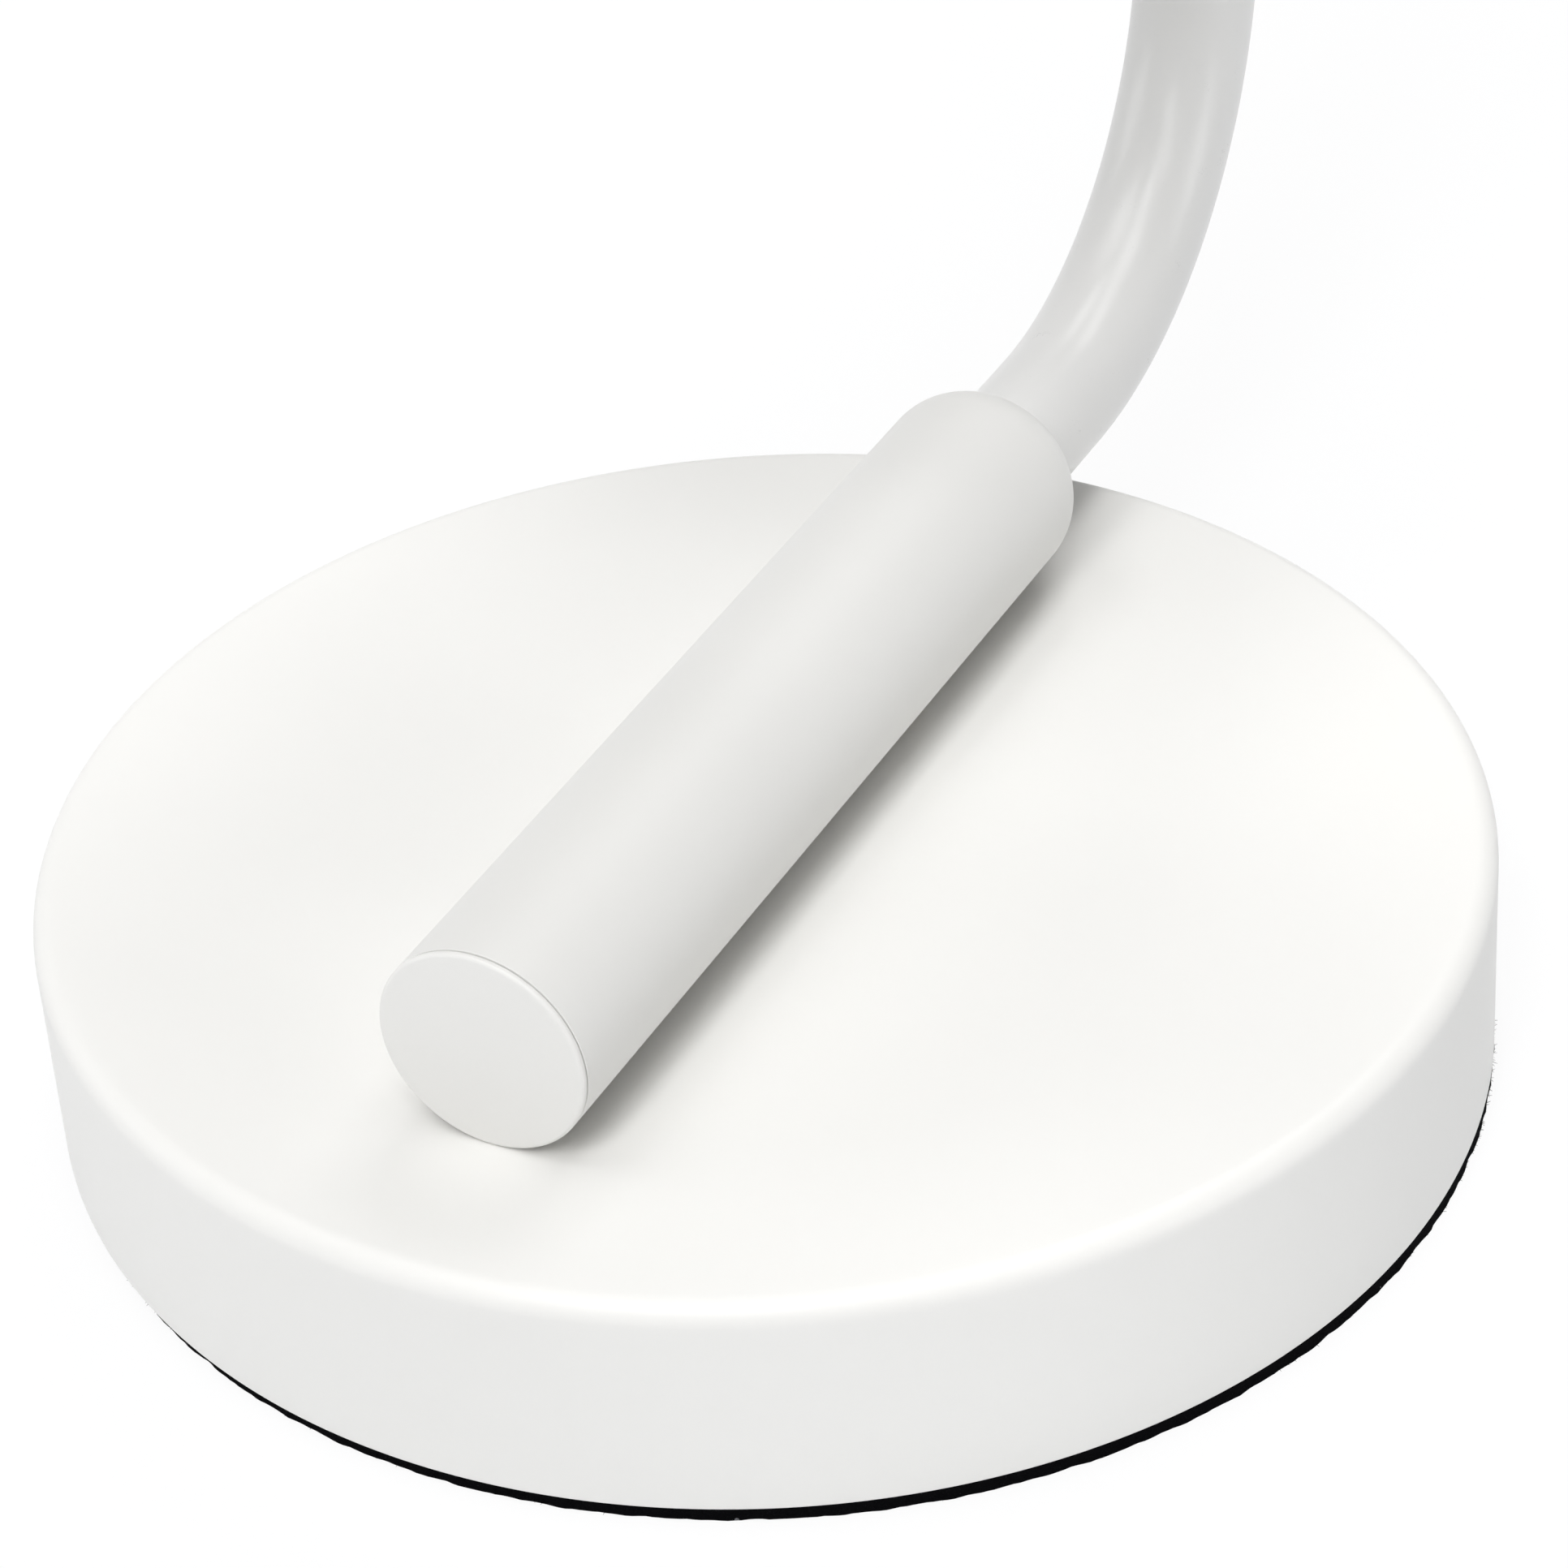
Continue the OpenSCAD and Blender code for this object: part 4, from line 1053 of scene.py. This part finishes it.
class LAMP_OT_bulb(Operator):
    """Build the lampholder, and the bulb with its screw cap and globe"""

    bl_idname = "lamp.bulb"
    bl_label = "Lampholder and bulb"

    def execute(self, context):
        sizes, colours = context.scene.lamp_sizes, context.scene.lamp_colours
        head = at_head(sizes)
        start = 29.55 * MM
        seat, end = start + 12 * MM, sizes.head_length + sizes.shade_wall + 9 * MM
        self.build_holder(sizes, head, start, seat, end)
        cap_foot, cap_top = seat + 1.05 * MM, end - 1 * MM
        self.build_cap(sizes, head, cap_foot, cap_top)
        glass_foot, glass_tip = end - 0.95 * MM, seat + 75.05 * MM
        self.build_globe(colours, sizes, head, glass_foot, glass_tip)
        return {"FINISHED"}

    def build_holder(self, sizes, head, start, seat, end):
        collar, ferrule, wires = 8 * MM, 5.05 * MM, 2.5 * MM
        collar_end, ferrule_end = start + 7 * MM, start + 7.05 * MM
        skirt, bore = sizes.holder_radius, sizes.bulb_cap + 0.8 * MM
        outline = [(ferrule, start, 0.3 * MM), (collar, start, 0.5 * MM), (collar, collar_end, 1.0 * MM)]
        outline += [(skirt, seat, 1.5 * MM), (skirt, end, 0.6 * MM), (bore, end, 0.5 * MM)]
        outline += [(bore, seat, 0.3 * MM), (wires, seat, 0.3 * MM), (wires, ferrule_end, 0.3 * MM)]
        outline = rounded(outline + [(ferrule, ferrule_end, 0.2 * MM)], steps=5)
        outline = self.finely(outline, skirt, 0.25 * MM)
        turn = thread(2.0 * MM, 0.45 * MM, sizes.head_length - 6 * MM, end - 0.8 * MM)

        def radial(angle, r, h):
            return turn(angle, r, h) if r > skirt - 0.01 * MM else r

        holder = turned("lampholder_moulded", outline, 128, head, radial=radial)
        dress(holder, lamp_plastic(), "holder_plastic", "head", "lampholder")

    @staticmethod
    def finely(outline, radius, step):
        """The outline with extra points on its straight stretches at that radius."""
        fine = []
        for here, after in zip(outline, outline[1:] + outline[:1]):
            fine.append(here)
            if abs(here[0] - radius) < 1e-7 and abs(after[0] - radius) < 1e-7:
                fine += steps_between(here, after, max(1, round(abs(after[1] - here[1]) / step)))
        return fine

    def build_cap(self, sizes, head, foot, top):
        r, tip, shell_foot = sizes.bulb_cap, 2.4 * MM, foot + 2.5 * MM
        outline = [(0, foot, 0), (tip, foot, 0.4 * MM), (r - 1 * MM, shell_foot, 0.3 * MM)]
        outline += [(r, shell_foot + 1.2 * MM, 0.6 * MM), (r, top, 0.3 * MM), (0, top, 0)]
        outline = self.finely(rounded(outline, steps=5), r, 0.2 * MM)
        turn = thread(2.82 * MM, 0.75 * MM, shell_foot + 0.8 * MM, top - 4.5 * MM)
        metal = worked_metal("bulb_cap_metal", (0.74, 0.74, 0.75), 0.3, (1, 1, 1))
        cap = turned("bulb_cap_rolled", outline, 128, head, radial=turn)
        dress(cap, metal, "bulb_metal", "head", "bulb_cap")

    def build_globe(self, colours, sizes, head, start, end):
        """A tapered neck that runs into the globe through a soft hollow, one even glass wall."""
        wall = 1 * MM
        r = sizes.globe_radius
        middle = end - r
        neck, wide, at = sizes.bulb_cap + 0.4 * MM, r * 0.75, middle - r / 2
        outer = self.glass_line(neck, start, wide, at, r, middle, 7 * MM)
        inner = self.glass_line(neck - wall, start, wide - wall, at, r - wall, middle, 8 * MM)
        globe = turned("bulb_globe_blown", outer + inner[::-1], 160, head)
        dress(globe, opal_glass("blown_opal_glass", colours.glass), "opal_glass", "head", "bulb_globe")

    @staticmethod
    def glass_line(neck, start, wide, at, radius, middle, hollow):
        foot = Vector((neck, start))
        run = (Vector((wide, at)) - foot).normalized()
        out = Vector((run.y, -run.x))
        ball = Vector((0, middle))

        # The hollow's circle touches the neck's side and the globe
        gap = foot + out * hollow - ball
        along = run.dot(gap)
        reach = -along - sqrt(along**2 - gap.length_squared + (radius + hollow) ** 2)
        centre = foot + run * reach + out * hollow
        first = degrees(atan2(-out.y, -out.x))
        last = degrees(atan2(ball.y - centre.y, ball.x - centre.x))
        meet = degrees(atan2(centre.y - ball.y, centre.x - ball.x))
        bend = arc(centre, hollow, first, last, 12)
        dome = arc(ball, radius, meet, 90, 48)[1:-1]
        return [tuple(foot)] + bend + dome + [(0, middle + radius)]


class LAMP_OT_fittings(Operator):
    """Give the fittings inside the lamp their finishes"""

    bl_idname = "lamp.fittings"
    bl_label = "Fittings"

    def execute(self, context):
        colours = context.scene.lamp_colours
        across_y = (1, 7, 1)
        finishes = {
            "zinc_plate": worked_metal("zinc_plated_sheet", (0.58, 0.60, 0.63), 0.36, (1, 5, 1)),
            "zinc_screw": worked_metal("bright_zinc_screws", (0.66, 0.67, 0.69), 0.26, (1, 1, 7)),
            "turned_steel": worked_metal("turned_bright_steel", (0.50, 0.51, 0.53), 0.32, across_y),
            "spring_steel": worked_metal("blued_spring_steel", (0.10, 0.11, 0.15), 0.3, across_y),
            "cast_ballast": rough_casting("primed_casting", (0.045, 0.046, 0.05)),
            "brass": worked_metal("turned_brass", colours.brass, 0.27, (1, 1, 7)),
            "terminal_nylon": moulded("ivory_nylon", (0.76, 0.72, 0.60), 0.45),
            "guide_nylon": moulded("grey_nylon", (0.66, 0.66, 0.64), 0.5),
            "switch_body": moulded("switch_body_black", (0.02, 0.02, 0.023), 0.35),
            "lead_jacket": moulded("lead_insulation", (0.68, 0.64, 0.53), 0.48, texture=1.2 * MM),
        }
        for part in frame["record"]["subparts"]:
            finish = finishes.get(part["material_slot"])
            if finish:
                solid = frame["nodes"][part["node"]]
                solid.data.materials.clear()
                solid.data.materials.append(finish)
        return {"FINISHED"}


class LAMP_PT_panel(Panel):
    """Lists the lamp's pieces and their sizes"""

    bl_idname = "LAMP_PT_panel"
    bl_label = "Desk Lamp"
    bl_space_type = "VIEW_3D"
    bl_region_type = "UI"
    bl_category = "Desk Lamp"

    def draw(self, context):
        for operator in STEPS:
            self.layout.operator(operator.bl_idname)
        for group in (context.scene.lamp_sizes, context.scene.lamp_colours):
            box = self.layout.box()
            for name in group.bl_rna.properties.keys():
                if name not in ("rna_type", "name"):
                    box.prop(group, name)


STEPS = (
    LAMP_OT_stage,
    LAMP_OT_base,
    LAMP_OT_barrel,
    LAMP_OT_neck,
    LAMP_OT_head,
    LAMP_OT_bulb,
    LAMP_OT_fittings,
)
CLASSES = (LampSizes, LampColours) + STEPS + (LAMP_PT_panel,)


def register():
    for cls in CLASSES:
        bpy.utils.register_class(cls)
    bpy.types.Scene.lamp_sizes = PointerProperty(type=LampSizes)
    bpy.types.Scene.lamp_colours = PointerProperty(type=LampColours)


def unregister():
    del bpy.types.Scene.lamp_colours
    del bpy.types.Scene.lamp_sizes
    for cls in reversed(CLASSES):
        bpy.utils.unregister_class(cls)


def main():
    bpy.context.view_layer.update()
    register()
    for step in STEPS:
        area, name = step.bl_idname.split(".")
        getattr(getattr(bpy.ops, area), name)()


if __name__ == "__main__":
    main()
